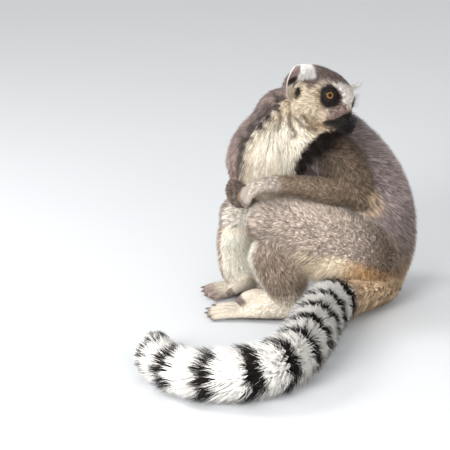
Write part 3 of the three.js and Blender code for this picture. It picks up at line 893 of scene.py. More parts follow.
def gaze(side):
    """The way an eye looks, in construction figures: LOOK for the right eye and its mirror for the left."""
    look = LOOK.copy()
    if side == "left":
        look[0] *= -1
    return unit(look) @ HEAD_MATRIX.T


def smoothed(points, edges, weight, passes):
    """Laplacian smoothing: each pass moves a point by its weight towards the mean of its neighbours."""
    a, b = edges[:, 0], edges[:, 1]
    count = np.bincount(a, minlength=len(points)) + np.bincount(b, minlength=len(points))
    for _ in range(passes):
        mean = np.stack([np.bincount(a, points[b, i], len(points)) + np.bincount(b, points[a, i], len(points))
                         for i in range(3)], 1) / np.maximum(count, 1)[:, None]
        points = points + weight[:, None] * (mean - points)
    return points


def segment_gap(points, line):
    """Distance to a polyline, and the share of it where that is."""
    best, share = np.full(len(points), 1e9), np.zeros(len(points))
    line = np.asarray(line, float)
    for i in range(len(line) - 1):
        d = line[i + 1] - line[i]
        u = np.clip((points - line[i]) @ d / (d @ d), 0, 1)
        gap = np.linalg.norm(points - line[i] - u[:, None] * d, axis=1)
        share = np.where(gap < best, (i + u) / (len(line) - 1), share)
        best = np.minimum(best, gap)
    return best, share


MOUTH = [[0, -61, -19.5], [7, -57, -20.5], [11, -50, -22], [16, -38, -24.5], [20, -29, -28]]
FACE_FORMS = [  # place, radii and push of each mound, on both sides
    ([17, -27, 17], [10, 9, 6], [0.8, -1.0, 1.6]),  # brow ridge
    ([4, -38, 6], [5, 8, 6], [-0.4, 0.8, -0.8]),  # dip beside the bridge
    ([9, -52, -15], [5, 7, 5], [1.6, -0.4, 0.2]),  # whisker pad
    ([26, -12, -14], [10, 12, 9], [1.6, 0.0, -0.6]),  # cheek
    ([5, -55, -25], [6, 6, 4], [0.4, -0.6, -1.0]),  # chin
    ([17, -37, -6], [6, 6, 4], [-0.9, 0.2, 0.0]),  # hollow under the eye
]
FOLDS = [  # wrinkles of the cheek and throat in the head's frame, on both sides
    [[31, 0.7, -31.5], [27, -9.3, -38.9], [23, -17.9, -40.1]],
    [[25.5, -7.5, -27.6], [24, -13, -32], [20.5, -18.5, -36]],
    [[34.6, 12.4, -16.6], [33, 7.6, -29.4], [32, 5.3, -38.5], [30.4, 1.1, -44.6], [28.7, -7.7, -51.3]],
    [[23, -15, -38.5], [20, -20, -38.6], [17.9, -24.5, -37.7]],
    [[29.1, -8, -51.5], [29.5, -4.4, -59.2]],
    [[32.1, 26, -22], [35.8, 17.6, -33.7], [34, 14.5, -46], [32.5, 13.9, -55.6]],
]
MOUTH_CREASE = {"depth": 1.7, "width": 1.2, "roll": 0.5, "roll_at": 2.8, "roll_width": 1.3}
FOLD_CREASE = {"depth": 3.2, "width": 2.0, "roll": 1.4, "roll_at": 4.2, "roll_width": 1.8}
LID_OVER, LID_SWELL, LID_SWELL_WIDTH = 0.75, 0.35, 5  # over the eyeball, more at the edge, and its degrees
LID_UNDER = 1.4  # how far the skin lies under the eyeball's surface inside the opening


def crease(gap, size):
    """How far a crease sinks the skin at a distance from its line.

    It is depth times exp(-(gap / width)^2), less the roll beside it, which is its own height times
    exp(-((gap - its distance) / its width)^2).
    """
    roll = size["roll"] * np.exp(-((gap - size["roll_at"]) / size["roll_width"]) ** 2)
    return size["depth"] * np.exp(-(gap / size["width"]) ** 2) - roll


def from_gaze(points, side, centre):
    """The way from an eye's centre to each point, its length, and its angle from the gaze in degrees."""
    d = points - centre
    away = np.linalg.norm(d, axis=1)
    return d, away, np.degrees(np.arccos(np.clip((d @ gaze(side)) / np.maximum(away, 1e-9), -1, 1)))


def sculpt_head(points, normals, eyes):
    """Face and throat: soft mounds pushed along fixed ways, creases along the mouth and wrinkles, and lids.

    A mound moves a point by its push times exp(-r^2), r being the distance in the mound's radii. A wrinkle
    is shallow at its ends and deepest at its middle. Round each eye the points go to a set distance from
    the eye's centre: under the eyeball's surface inside the opening, and just over it at the lids.
    """
    h = in_head(points)
    n = normals @ HEAD_MATRIX
    fold = one_side(h)
    sign = np.where(h[:, 0] < 0, -1.0, 1.0)
    push = np.zeros_like(h)
    for place, radii, move in FACE_FORMS:
        strength = mound(fold, place, radii)
        push += strength[:, None] * np.stack([sign * move[0], 0 * sign + move[1], 0 * sign + move[2]], 1)
    push -= n * crease(segment_gap(fold, MOUTH)[0], MOUTH_CREASE)[:, None]
    for line in FOLDS:
        gap, share = segment_gap(fold, line)
        deep = np.sin(np.pi * np.clip(0.1 + 0.8 * share, 0, 1))
        push -= n * (deep * crease(gap, FOLD_CREASE))[:, None]
    moved = from_head(h + push)
    for side, (centre, radius) in eyes.items():
        d, away, angle = from_gaze(moved, side, centre)
        under = radius - LID_UNDER
        lid = radius + LID_OVER + LID_SWELL * np.exp(-((angle - LID_OPENING - 5) / LID_SWELL_WIDTH) ** 2)
        aim = np.where(angle < LID_OPENING, under, lid)
        turning = (angle >= LID_OPENING - 2) & (angle < LID_OPENING + 3)
        slope = under + (lid - under) * rise(angle, LID_OPENING - 1.5, LID_OPENING + 2.5)
        aim = np.where(turning, slope, aim)
        grip = (1 - rise(angle, 62, 96)) * (1 - rise(away, 15, 21))
        reach = away + grip * (aim - away)
        inside = (away < radius + 0.6) & (angle < 110)
        reach = np.where(inside, np.maximum(reach, np.where(angle < LID_OPENING, 0, radius + 0.5)), reach)
        moved = centre + d * (reach / np.maximum(away, 1e-9))[:, None]
    return moved


def ear_surface(side, rows=26, around=40):
    """An ear as a cupped leaf, turned, leaned and set on the head.

    Across it x = w(t) cos a, and its depth is y = thickness sin a + cup (1 - cos^2 a), where w(t) is an
    ellipse's half width at the share t of its height. Shares t and bearings a are given with the points.
    """
    t = (np.arange(rows) + 0.5) / rows
    a = np.arange(around) / around * 2 * np.pi
    t, a = np.meshgrid(t, a, indexing="ij")
    half = EAR["width"] * np.sqrt(np.maximum(0, 1 - ((t - 0.5) / 0.53) ** 2))
    u = np.cos(a)
    thick = EAR["thickness"] * (1.5 - 0.7 * t)
    hollow = EAR["cup"] * (1 - u * u) * np.sin(np.pi * np.minimum(1, t + 0.15))
    front = np.sin(a) < 0
    ridge = np.where(front, 0.5 * np.sin(9 * t * np.pi + 3 * u) * (1 - u * u) * rise(t, 0.4, 0.6), 0)
    height = -EAR["depth"] + (EAR["height"] + EAR["depth"]) * t
    body = np.stack([half * u, thick * np.sin(a) + hollow + ridge, height], -1).reshape(-1, 3)
    points = np.vstack([[0, 0, -EAR["depth"]], body, [0, 1, EAR["height"]]])
    pose = EAR_POSE[side]
    lean = turn_about(2, -pose["forward"]) @ turn_about(1, pose["lean"]) @ turn_about(2, pose["turn"])
    points = points @ lean.T + np.array(pose["root"])
    if side == "right":
        points[:, 0] *= -1
    quads, caps = grid_faces(rows, around)
    if side == "right":
        quads, caps = quads[:, ::-1], caps[:, ::-1]
    share = np.concatenate([[0], t.reshape(-1), [1]])
    bearing = np.concatenate([[0], a.reshape(-1), [np.pi / 2]])
    return from_head(points), quads, caps, share, bearing


# The dark spots of the ear's inside, from top to bottom: places up and across it, and sizes
EAR_SPOTS = [(0.57, 0.5, 0.11, 0.42), (0.4, 0.14, 0.09, 0.2), (0.24, -0.05, 0.11, 0.25)]


def ear_spot(t, u, t_place, u_place, t_size, u_size):
    """A blunt spot: exp of minus the fourth powers of the distances up and across the ear in its sizes."""
    return np.exp(-((t - t_place) / t_size) ** 4 - ((u - u_place) / u_size) ** 4)


def ear_tones(t, a, c):
    """The ear: pale fur behind, a white rim, a bare mauve hollow above and dark spots down the inside."""
    u = np.cos(a)
    inside = rise(-np.sin(a), 0.0, 0.25)
    hollow = inside * rise(t, 0.44, 0.54) * rise(u, -0.15, 0.15) * (1 - rise(u, 0.93, 0.99))
    dark = np.max([ear_spot(t, u, *spot) for spot in EAR_SPOTS], axis=0)
    tones = mix(even(c["ear_hair"] * 0.93, t), c["cheek"], inside * (1 - rise(t, 0.35, 0.6)))
    ridge = 0.8 + 0.2 * np.sin(26 * t + 4 * u)
    tones = mix(tones, c["ear_skin"] * ridge[:, None], hollow)
    return mix(tones, c["patch"] * 0.6, np.clip(1.2 * inside * dark, 0, 1))


SKIN_LOWEST, HAIR_LOWEST = 1.0, 0.2  # over the floor
# Painted shade: the skin takes the markings darkened, partly as the coat's own darker undercoat, partly so
# that gaps in the coat look shadowed.
UNDERCOAT_SHADE = 0.8  # how light the skin is beside the coat


class LemurSkinSizes(bpy.types.PropertyGroup):
    """Sizes of the skin."""
    voxel: number("Mesh size", "Size of the skin's own mesh", 0.0025, 0.0015, 0.01, unit="LENGTH")
    creases: bpy.props.IntProperty(name="Softening", description="Smoothing passes where limbs meet the body",
                                   default=5, min=0, max=40)


class LEMUR_OT_skin(bpy.types.Operator):
    """Builds the one skin under the coat, with the face, throat folds, lids and ears"""
    bl_idname = "lemur.skin"
    bl_label = "Skin"

    def execute(self, context):
        sizes = context.scene.lemur_skin
        points, polygons, start = [], [], 0
        for name in NAMES:
            p, quads, caps = loft(PARTS[name])
            if name == "skull":
                p = from_head(p)
            points.append(p)
            polygons += [quads + start, caps + start]
            start += len(p)
        blocks = mesh_object("skin_blocks", np.concatenate(points), polygons)
        remesh = blocks.modifiers.new("One skin", "REMESH")
        remesh.mode, remesh.voxel_size = "VOXEL", sizes.voxel
        shape = bpy.data.meshes.new_from_object(
            blocks.evaluated_get(context.evaluated_depsgraph_get()), preserve_all_data_layers=False)
        bpy.data.objects.remove(blocks)
        skin = bpy.data.objects.new("skin", shape)
        shape.name = "skin"
        context.scene.collection.objects.link(skin)
        refine_face(shape)
        points = vertex_array(shape)
        edges = np.empty(len(shape.edges) * 2, np.int32)
        shape.edges.foreach_get("vertices", edges)
        near = nearness(points)
        _, values = coat_at(points, near)
        weight = 0.12 + 0.5 * rise(values[:, 1], 1.2, 4.0)  # more where the coat is deep
        points = smoothed(points, edges.reshape(-1, 2), weight, sizes.creases)
        points = smoothed(points, edges.reshape(-1, 2), 0.5 * joined(near, points), 8 * sizes.creases)
        put_vertices(shape, points)
        points = sculpt_head(points, vertex_normals(shape), eye_places())
        points[:, 2] = np.maximum(points[:, 2], SKIN_LOWEST)
        put_vertices(shape, points)
        # The skin's markings, darkened by the painted shade of the undercoat.
        paint(shape, markings(points, nearness(points)) * UNDERCOAT_SHADE)
        shape.polygons.foreach_set("use_smooth", np.ones(len(shape.polygons), bool))
        shape.materials.clear()
        shape.materials.append(skin_material())
        add_ears(skin)
        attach(skin, "root")
        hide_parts(*[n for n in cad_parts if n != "nose" and not n.startswith("eye_")])
        return {"FINISHED"}


def joined(near, points):
    """How much the torso's parts and the thighs' roots run into one another: 1 less the largest share."""
    w = shares(near, JOIN_BLEND)
    haunch = w[:, [NAMES.index("thigh_left"), NAMES.index("thigh_right")]].sum(1) * rise(points[:, 1], 20, 36)
    return rise(1 - w.max(1), 0.12, 0.5) * rise(w[:, TORSO].sum(1) + haunch, 0.6, 0.9)


def refine_face(mesh):
    """Splits the faces of the face twice, and those of the rest of the head and the throat once."""
    for low, high in ((20.0, -46.0), (-13.0, -34.0)):
        bm = bmesh.new()
        bm.from_mesh(mesh)
        co = np.array([v.co[:] for v in bm.verts]) / MM + SEAT
        h = in_head(co)
        inside = ((h[:, 1] < low) & (h[:, 1] > -75) & (h[:, 2] > high) & (h[:, 2] < 40)
                  & (np.abs(h[:, 0]) < 42))
        for v, keep in zip(bm.verts, inside):
            v.tag = bool(keep)
        edges = [e for e in bm.edges if e.verts[0].tag and e.verts[1].tag]
        bmesh.ops.subdivide_edges(bm, edges=edges, cuts=1, use_grid_fill=True)
        bmesh.ops.triangulate(bm, faces=[f for f in bm.faces if len(f.verts) > 4])
        bm.to_mesh(mesh)
        bm.free()


def add_ears(skin):
    """Joins both cupped ears to the skin, with their own markings."""
    c = palette()
    ears = []
    for side in ("left", "right"):
        points, quads, caps, share, bearing = ear_surface(side)
        ear = mesh_object("ear_" + side + "_leaf", points, [quads, caps])
        paint(ear.data, ear_tones(share, bearing, c))
        ear.data.materials.append(skin.data.materials[0])
        ears.append(ear)
    for piece in (skin, *ears):
        mark = piece.data.attributes.new("ear", "FLOAT", "POINT")
        values = np.full(len(piece.data.vertices), float(piece is not skin), np.float32)
        mark.data.foreach_set("value", values)
    with bpy.context.temp_override(active_object=skin, selected_editable_objects=[skin, *ears]):
        bpy.ops.object.join()


# ---- Coat --------------------------------------------------------
class LemurCoatSizes(bpy.types.PropertyGroup):
    """Sizes of the coat."""
    amount: number("Amount", "Share of the full number of tufts", 1.0, 0.05, 1.0)
    thickness: number("Tuft thickness", "Thickness of a tuft as a share of its width", 0.5, 0.2, 1.0)
    uneven: number("Unevenness", "How far tufts stray from the lie of the coat", 0.16, 0.0, 1.0)
    grizzle: number("Grizzle", "How much light and dark tufts differ", 0.4, 0.0, 1.0)


COAT_PIECES = {  # name: the parts it covers, tufts, whether they bend
    "coat_face": (("skull",), 28000, False),
    "coat_crown": (("skull",), 32000, False),
    "coat_neck": (("neck",), 15000, True),
    "coat_chest": (("bib",), 11000, True),
    "coat_back": (("trunk",), 46000, False),
    "coat_arms": (("upper_arm", "forearm", "palm", "finger"), 38000, False),
    "coat_thighs": (("thigh",), 46000, False),
    "coat_legs": (("shank", "sole", "toe"), 36000, False),
    "coat_tail_base": (("tail",), 13000, True),
    "coat_tail_brush": (("tail",), 13000, True),
}
FACE_BACK = -6.0  # in the head's frame, where the short fur of the face ends
BRUSH_FROM = 0.5  # the share of the tail at which its second piece begins
ROOT_DEPTH = 0.5  # how far a tuft starts under the skin
TUFT_MIDDLE = 0.45  # the share of its length at which a tuft bends
# Painted shade at a tuft's base: partly the hairs' own darker roots, partly shade deep in the coat. The
# lighter tips are the hairs' own paler ends.
BENT_SHADE_FADE = [0.5] * 3 + [0.92] * 3 + [1.12]  # how light a bent tuft is at its base, middle and tip
STRAIGHT_SHADE_FADE = [0.3] * 3 + [1.35]  # and a straight one at its base and tip
MAP_STEP = 0.0015  # half the size of a tuft's patch on the map


def skin_triangles(skin):
    """The skin's triangles, points, normals and areas, the ears' own leaves among them."""
    mesh = skin.data
    mesh.calc_loop_triangles()
    tri = np.empty(len(mesh.loop_triangles) * 3, np.int32)
    mesh.loop_triangles.foreach_get("vertices", tri)
    tri = tri.reshape(-1, 3)
    points = vertex_array(mesh)
    normals = vertex_normals(mesh)
    a, b, c = points[tri[:, 0]], points[tri[:, 1]], points[tri[:, 2]]
    area = 0.5 * np.linalg.norm(np.cross(b - a, c - a), axis=1)
    return tri, points, normals, area


def belongs(main, t, points, spec, name):
    """Which of the points a coat piece covers."""
    mine = np.array([n.startswith(spec[0]) for n in NAMES])[main]
    face, brush = in_head(points)[:, 1] < FACE_BACK, t >= BRUSH_FROM
    limits = {"coat_face": face, "coat_crown": ~face, "coat_tail_base": ~brush, "coat_tail_brush": brush}
    return mine & limits.get(name, True)


def bare(points, main):
    """How much of the coat stands at a point: none on the eyeballs, less on the lips' edge, by the wrinkles,
    on toes and fingers and near the floor.
    """
    keep = np.ones(len(points))
    for side, (centre, radius) in eye_places().items():
        _, away, angle = from_gaze(points, side, centre)
        keep *= np.where((angle < LID_OPENING + 6) & (away < radius + 6), 0, 1)
    h = in_head(points)
    keep *= 1 - rise(-h[:, 1], 52, 55) * rise(h[:, 2], -19, -16)
    keep *= 1 - 0.6 * np.exp(-(fold_gap(h) / 1.4) ** 2)
    toes = np.array([n.startswith(("toe", "finger")) for n in NAMES])[main]
    keep *= np.where(toes, 0.6, 1.0)
    keep *= rise(points[:, 2], 1.2, 3.0)
    return keep


def along_skin(flow, normal):
    """The flow turned to lie flat on the skin."""
    return unit(flow - (flow * normal).sum(1, keepdims=True) * normal)


def locks(points, tips, cell, rng):
    """The mean tip of each tuft's lock: tufts whose roots share a ragged cell of space of that size."""
    stray = rng.normal(0, 0.22, points.shape) * cell[:, None]
    key = np.floor((points + stray) / cell[:, None]).astype(np.int64)
    code = key[:, 0] * 73856093 ^ key[:, 1] * 19349663 ^ key[:, 2] * 83492791
    _, lock = np.unique(code, return_inverse=True)
    count = np.bincount(lock)
    mean = np.stack([np.bincount(lock, tips[:, i]) / count for i in range(3)], 1)
    shade = rng.normal(0, 1, len(count))
    return mean[lock], shade[lock], count[lock]


def tuft_mesh(root, normal, flow, length, width, lift, bend, thickness, rng, cell, gather, uneven):
    """Tufts as thin three-sided spikes that lie along the coat.

    A tuft leaves its root at the angle lift from the skin and goes on from its middle at half that angle.
    Its ring is three points on an oval of its width and thickness. Then middle and tip are drawn towards the
    mean tip of its lock.
    """
    count = len(root)
    side = unit(np.cross(normal, flow))
    stray = rng.normal(0, uneven, count)[:, None]
    flow = along_skin(unit(flow + side * stray), normal)
    lift = np.clip(lift * (1 + rng.normal(0, 0.22, count)), 0.03, 1.4)[:, None]
    first = np.cos(lift) * flow + np.sin(lift) * normal
    later = np.cos(0.5 * lift) * flow + np.sin(0.5 * lift) * normal
    length = (length * (1 + np.clip(rng.normal(0, 0.16, count), -0.4, 0.4)))[:, None]
    base = root - ROOT_DEPTH * normal
    middle = base + TUFT_MIDDLE * length * first
    tip = middle + (1 - TUFT_MIDDLE) * length * later
    mean, shade, size = locks(root, tip, cell, rng)
    pull = (gather * (size > 1))[:, None]
    middle = middle + 0.35 * pull * (mean - tip)
    tip = tip + pull * (mean - tip)
    side = unit(np.cross(normal, tip - root))
    up = unit(np.cross(tip - root, side))
    angle = np.radians([90, 210, 330])
    oval = 0.5 * width[:, None, None] * (np.cos(angle)[None, :, None] * side[:, None]
                                         + thickness * np.sin(angle)[None, :, None] * up[:, None])
    rings = [base[:, None] + oval]
    if bend:
        rings.append(middle[:, None] + 0.72 * oval)
    rings.append(tip[:, None])
    return np.concatenate(rings, 1), shade


def tuft_faces(count, bend):
    """Triangles of count tufts: a closed base, three sides, and a point."""
    if bend:
        one = [[2, 1, 0]]
        for k in range(3):
            n = (k + 1) % 3
            one += [[k, n, 3 + n], [k, 3 + n, 3 + k], [3 + k, 3 + n, 6]]
        size = 7
    else:
        one = [[2, 1, 0], [0, 1, 3], [1, 2, 3], [2, 0, 3]]
        size = 4
    one = np.array(one)
    return (one[None] + (np.arange(count) * size)[:, None, None]).reshape(-1, 3), size


def bake_map(mesh, part_index, t, out, high, size):
    """The UV map OFBake: each part of the piece is a column, with the path's share up it and the bearing
    round the oval across it. A tuft is a small patch at its root's place, from base to tip."""
    present = np.unique(part_index)
    column = np.searchsorted(present, part_index)
    bearing = np.arctan2(high, out) / (2 * np.pi) + 0.5
    u = (column + 0.02 + 0.96 * bearing) / len(present) * 0.99
    v = 0.005 + 0.985 * t
    if size == 7:
        du, dv = np.array([0, -1, 1, 0, -1, 1, 0]), np.array([0, 0, 0, 1, 1, 1, 2])
    else:
        du, dv = np.array([0, -1, 1, 0]), np.array([0, 0, 0, 2])
    uv = np.stack([u[:, None] + du * MAP_STEP, v[:, None] + dv * MAP_STEP], -1).clip(0, 1).reshape(-1, 2)
    layer = mesh.uv_layers.new(name="OFBake")
    index = np.empty(len(mesh.loops), np.int32)
    mesh.loops.foreach_get("vertex_index", index)
    layer.data.foreach_set("uv", uv[index].astype(np.float32).reshape(-1))


def scatter(area, weight, count, rng):
    """count places on triangles, as likely as their area times weight: the triangle and its corner shares."""
    odds = area * weight
    pick = rng.choice(len(odds), count, p=odds / odds.sum())
    r = np.sqrt(rng.random(count))
    s = rng.random(count)
    return pick, np.stack([1 - r, r * (1 - s), r * s], 1)


class LEMUR_OT_coat(bpy.types.Operator):
    """Grows the coat on the skin in tufts, one piece for each stretch of the body"""
    bl_idname = "lemur.coat"
    bl_label = "Coat"

    def execute(self, context):
        sizes = context.scene.lemur_coat
        skin = bpy.data.objects["skin"]
        tri, points, normals, area = skin_triangles(skin)
        centre = points[tri].mean(1)
        near = nearness(centre)
        main = near["far"].argmin(1)
        pick_t = near["t"][np.arange(len(main)), main]
        body = np.empty(len(skin.data.attributes["ear"].data), np.float32)
        skin.data.attributes["ear"].data.foreach_get("value", body)
        open_skin = (body[tri].max(1) < 0.5) * bare(centre, main)
        material = hair_material()
        for seed, (name, spec) in enumerate(COAT_PIECES.items()):
            rng = np.random.default_rng(20 + seed)
            weight = belongs(main, pick_t, centre, spec, name) * open_skin
            count = int(spec[1] * sizes.amount * (1))
            pick, corner = scatter(area, weight * fineness(centre, main), count, rng)
            root = np.einsum("nk,nkd->nd", corner, points[tri[pick]])
            normal = unit(np.einsum("nk,nkd->nd", corner, normals[tri[pick]]))
            here = nearness(root)
            flow, values = coat_at(root, here)
            flow = along_skin(flow, normal)
            length, depth, width, clump, gather = values.T
            close = 1 - 0.7 * (1 - rise(fold_gap(in_head(root)), 2, 10))
            hang = fringe(here)
            length, depth = length * close * (1 + 0.7 * hang), depth * close * (1 + 0.9 * hang)
            lift = np.arcsin(np.clip(depth / (0.72 * length), 0.05, 0.95))
            corners, shade = tuft_mesh(root, normal, flow, length, width, lift, spec[2], sizes.thickness, rng,
                                       clump, gather, sizes.uneven)
            seen = root + flow * (0.55 * length * np.cos(lift))[:, None]
            tones = markings(seen, nearness(seen))
            even = grizzled(here["far"].argmin(1), tones)
            one = np.exp(sizes.grizzle * even * (0.6 * rng.normal(0, 1, count) + 1.0 * shade))
            tones = tones * np.clip(one, 0.35, 1.9)[:, None]
            faces, size = tuft_faces(count, spec[2])
            fade = np.array(BENT_SHADE_FADE if spec[2] else STRAIGHT_SHADE_FADE)
            corners = corners.reshape(-1, 3)
            corners[:, 2] = np.maximum(corners[:, 2], HAIR_LOWEST)
            piece = mesh_object(name, corners, [faces])
            soft_normals(piece.data, normal, flow, size)
            # Pale fur gets less of the painted shade at its base.
            pale = rise(tones.mean(1), 0.3, 0.75)[:, None]
            fade = fade[None] + pale * (np.clip(fade, 0.82, 1.06)[None] - fade[None])
            paint(piece.data, (tones[:, None] * fade[:, :, None]).reshape(-1, 3).clip(0, 1))
            index = here["far"].argmin(1)
            pickup = np.arange(count), index
            bake_map(piece.data, index, here["t"][pickup], here["out"][pickup], here["high"][pickup], size)
            piece.data.materials.append(material)
            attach(piece, "root")
        return {"FINISHED"}


def fringe(near):
    """How much longer and looser the hair hangs: under the haunches, and behind the calves by the knee."""
    main = near["far"].argmin(1)
    at = np.arange(len(main)), main
    t, low = near["t"][at], -near["high"][at]
    haunch = np.array([n.startswith("thigh") for n in NAMES])[main]
    calf = np.array([n.startswith("shank") for n in NAMES])[main]
    corner = 1 + rise(t, 0.36, 0.48) * (1 - rise(t, 0.66, 0.8))
    return (haunch * rise(low, 0.35, 0.8) * (1 - rise(t, 0.66, 0.8)) * corner
            + 1.6 * calf * rise(low, 0.3, 0.8) * (1 - rise(t, 0.72, 0.9)))


def soft_normals(mesh, normal, flow, size):
    """Gives each tuft shading normals near its skin's, so that the coat shades as one soft surface."""
    lean = unit(normal + 0.25 * flow)
    mesh.normals_split_custom_set_from_vertices(np.repeat(lean, size, axis=0).astype(np.float32))


def grizzled(main, tones):
    """How salt-and-pepper the coat is: most on grey fur, least on white fur and on the breast and tail."""
    calm = np.array([{"bib": 0.5, "neck": 0.8, "tail": 0.4}.get(n, 1.0) for n in NAMES])[main]
    return calm * (1 - 0.6 * rise(tones.mean(1), 0.45, 0.8))


def fineness(points, main):
    """How dense the tufts are: more of them where they are fine, on the face's front."""
    h = in_head(points)
    head = np.array([n == "skull" for n in NAMES])[main]
    small = np.array([n.startswith(("toe", "finger", "palm", "sole")) for n in NAMES])[main]
    return 1 + head * 2.2 * rise(-h[:, 1], 14, 34) + 0.8 * small


EAR_TUFTS, EAR_QUICK_SHARE, EAR_TUFT_WIDTH = 4200, 0.3, 0.7
# Painted shade at the ear tufts' bases, partly their own darker roots.
EAR_SHADE_FADE = [0.55] * 3 + [0.95] * 3 + [1.06]  # how light its tufts are at base, middle and tip
EAR_LOCK, EAR_GATHER, EAR_UNEVEN = 3.5, 0.35, 0.2


class LEMUR_OT_ear_hair(bpy.types.Operator):
    """Grows the ears' hair: short pale fur behind, a white fringe on the rim and a tuft over the inside"""
    bl_idname = "lemur.ear_hair"
    bl_label = "Ear hair"

    def execute(self, context):
        sizes = context.scene.lemur_coat
        c = palette()
        rng = np.random.default_rng(71)
        grown = []
        for side in ("left", "right"):
            points, quads, _, share, bearing = ear_surface(side)
            count = int(EAR_TUFTS * sizes.amount * (1))
            pick = rng.choice(len(quads), count)
            s, r = rng.random((2, count, 1))
            a, b, cc, d = (points[quads[pick, k]] for k in range(4))
            place = (a * (1 - s) + b * s) * (1 - r) + (d * (1 - s) + cc * s) * r
            up = unit((d + cc) - (a + b))
            out = unit(np.cross(b - a, d - a))
            t = share[quads[pick]].mean(1)
            angle = np.arctan2(np.sin(bearing[quads[pick]]).mean(1), np.cos(bearing[quads[pick]]).mean(1))
            u = np.cos(angle)
            front = -np.sin(angle) > 0.05
            rim = rise(np.abs(u), 0.8, 0.95)
            lead = rise(-u, -0.15, 0.3)
            low = rise(0.42 - t, 0, 0.12) * (1 - ear_spot(t, u, 0.24, -0.05, 0.13, 0.3))
            inner = np.maximum(np.maximum(0.25 * rim * (t > 0.4), lead * rise(t, 0.12, 0.3)), low)
            keep = rng.random(count) < np.where(front, inner, 1.0)
            outward = unit(b - a) * np.where(np.sin(angle) > 0, 1, -1)[:, None]
            flow = unit(up + 0.3 * outward * rim[:, None])
            length = 4 + 7.5 * lead * front + 1.5 * rim - 2.6 * rise(u, 0.2, 0.8)
            lift = 0.35 + 0.3 * front * lead + 0.1 * rim
            where = np.stack([t, u, np.sin(angle), np.full(count, side == "left")], 1)
            white = rise(t + 0.12 * rng.normal(0, 1, count), 0.4, 0.8)
            # Brown streaks low in the tuft: partly brown hairs, partly painted shade between the strands.
            brown_and_shade = 0.75 * lead * front * (1 - rise(t, 0.35, 0.7)) * (rng.random(count) > 0.4)
            hair = mix(mix(even(c["cheek"], t), c["ear_hair"], white), 1.2 * c["crown"], brown_and_shade)
            grown.append([v[keep] for v in (place, out, flow, length, lift, where, hair)])
        root, normal, flow, length, lift, where, hair = (np.concatenate(v) for v in zip(*grown))
        count = len(root)
        width, cell, gather = (np.full(count, v) for v in (EAR_TUFT_WIDTH, EAR_LOCK, EAR_GATHER))
        corners, _ = tuft_mesh(root, normal, flow, length, width, lift, True, sizes.thickness, rng, cell,
                               gather, EAR_UNEVEN)
        stray = 0.6 * sizes.grizzle * rng.normal(0, 1, count) * (1.5 - where[:, 0])
        one = np.exp(stray - 0.3 * (1 - rise(where[:, 0], 0.3, 0.75)))
        faces, size = tuft_faces(count, True)
        corners = corners.reshape(-1, 3)
        piece = mesh_object("coat_ears", corners, [faces])
        fade = np.array(EAR_SHADE_FADE)
        paint(piece.data, ((hair * one[:, None])[:, None] * fade[None, :, None]).reshape(-1, 3).clip(0, 1))
        bake_map(piece.data, where[:, 3].astype(int), where[:, 0], where[:, 1], where[:, 2], size)
        piece.data.materials.append(bpy.data.materials["lemur_coat"])
        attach(piece, "root")
        return {"FINISHED"}


# ---- Eyes, nose, whiskers and nails ------------------------------
class LemurFaceSizes(bpy.types.PropertyGroup):
    """Sizes of the eyes, whiskers and nails."""
    iris: number("Iris", "Angle from the gaze to the iris's edge", math.radians(33), 0.2, 1.2,
                 subtype="ANGLE")
    pupil: number("Pupil", "Angle from the gaze to the pupil's edge", math.radians(12.5), 0.05, 0.8,
                  subtype="ANGLE")
    whisker: number("Whisker length", "Length of the longest whiskers", 0.034, 0.005, 0.08, unit="LENGTH")
    nail: number("Nail length", "Length of a toe nail", 0.006, 0.002, 0.02, unit="LENGTH")


def ball_grid(rings, around):
    """Polar and turning angles of a grid on a ball, pole to pole, without the poles."""
    polar = (np.arange(rings) + 1) / (rings + 1) * np.pi
    turn = np.arange(around) / around * 2 * np.pi
    return [v.reshape(-1) for v in np.meshgrid(polar, turn, indexing="ij")]


def ball(rings, around):
    """A ball of radius one with its poles on -Y and +Y: points, quads and end fans."""
    polar, turn = ball_grid(rings, around)
    body = np.stack([np.sin(polar) * np.cos(turn), -np.cos(polar), np.sin(polar) * np.sin(turn)], 1)
    return np.vstack([[0, -1, 0], body, [0, 1, 0]]), *grid_faces(rings, around)


def basis(axis):
    """Two directions square to an axis."""
    first = unit(np.cross(axis, [0.0, 0.0, 1.0]))
    return first, np.cross(axis, first)


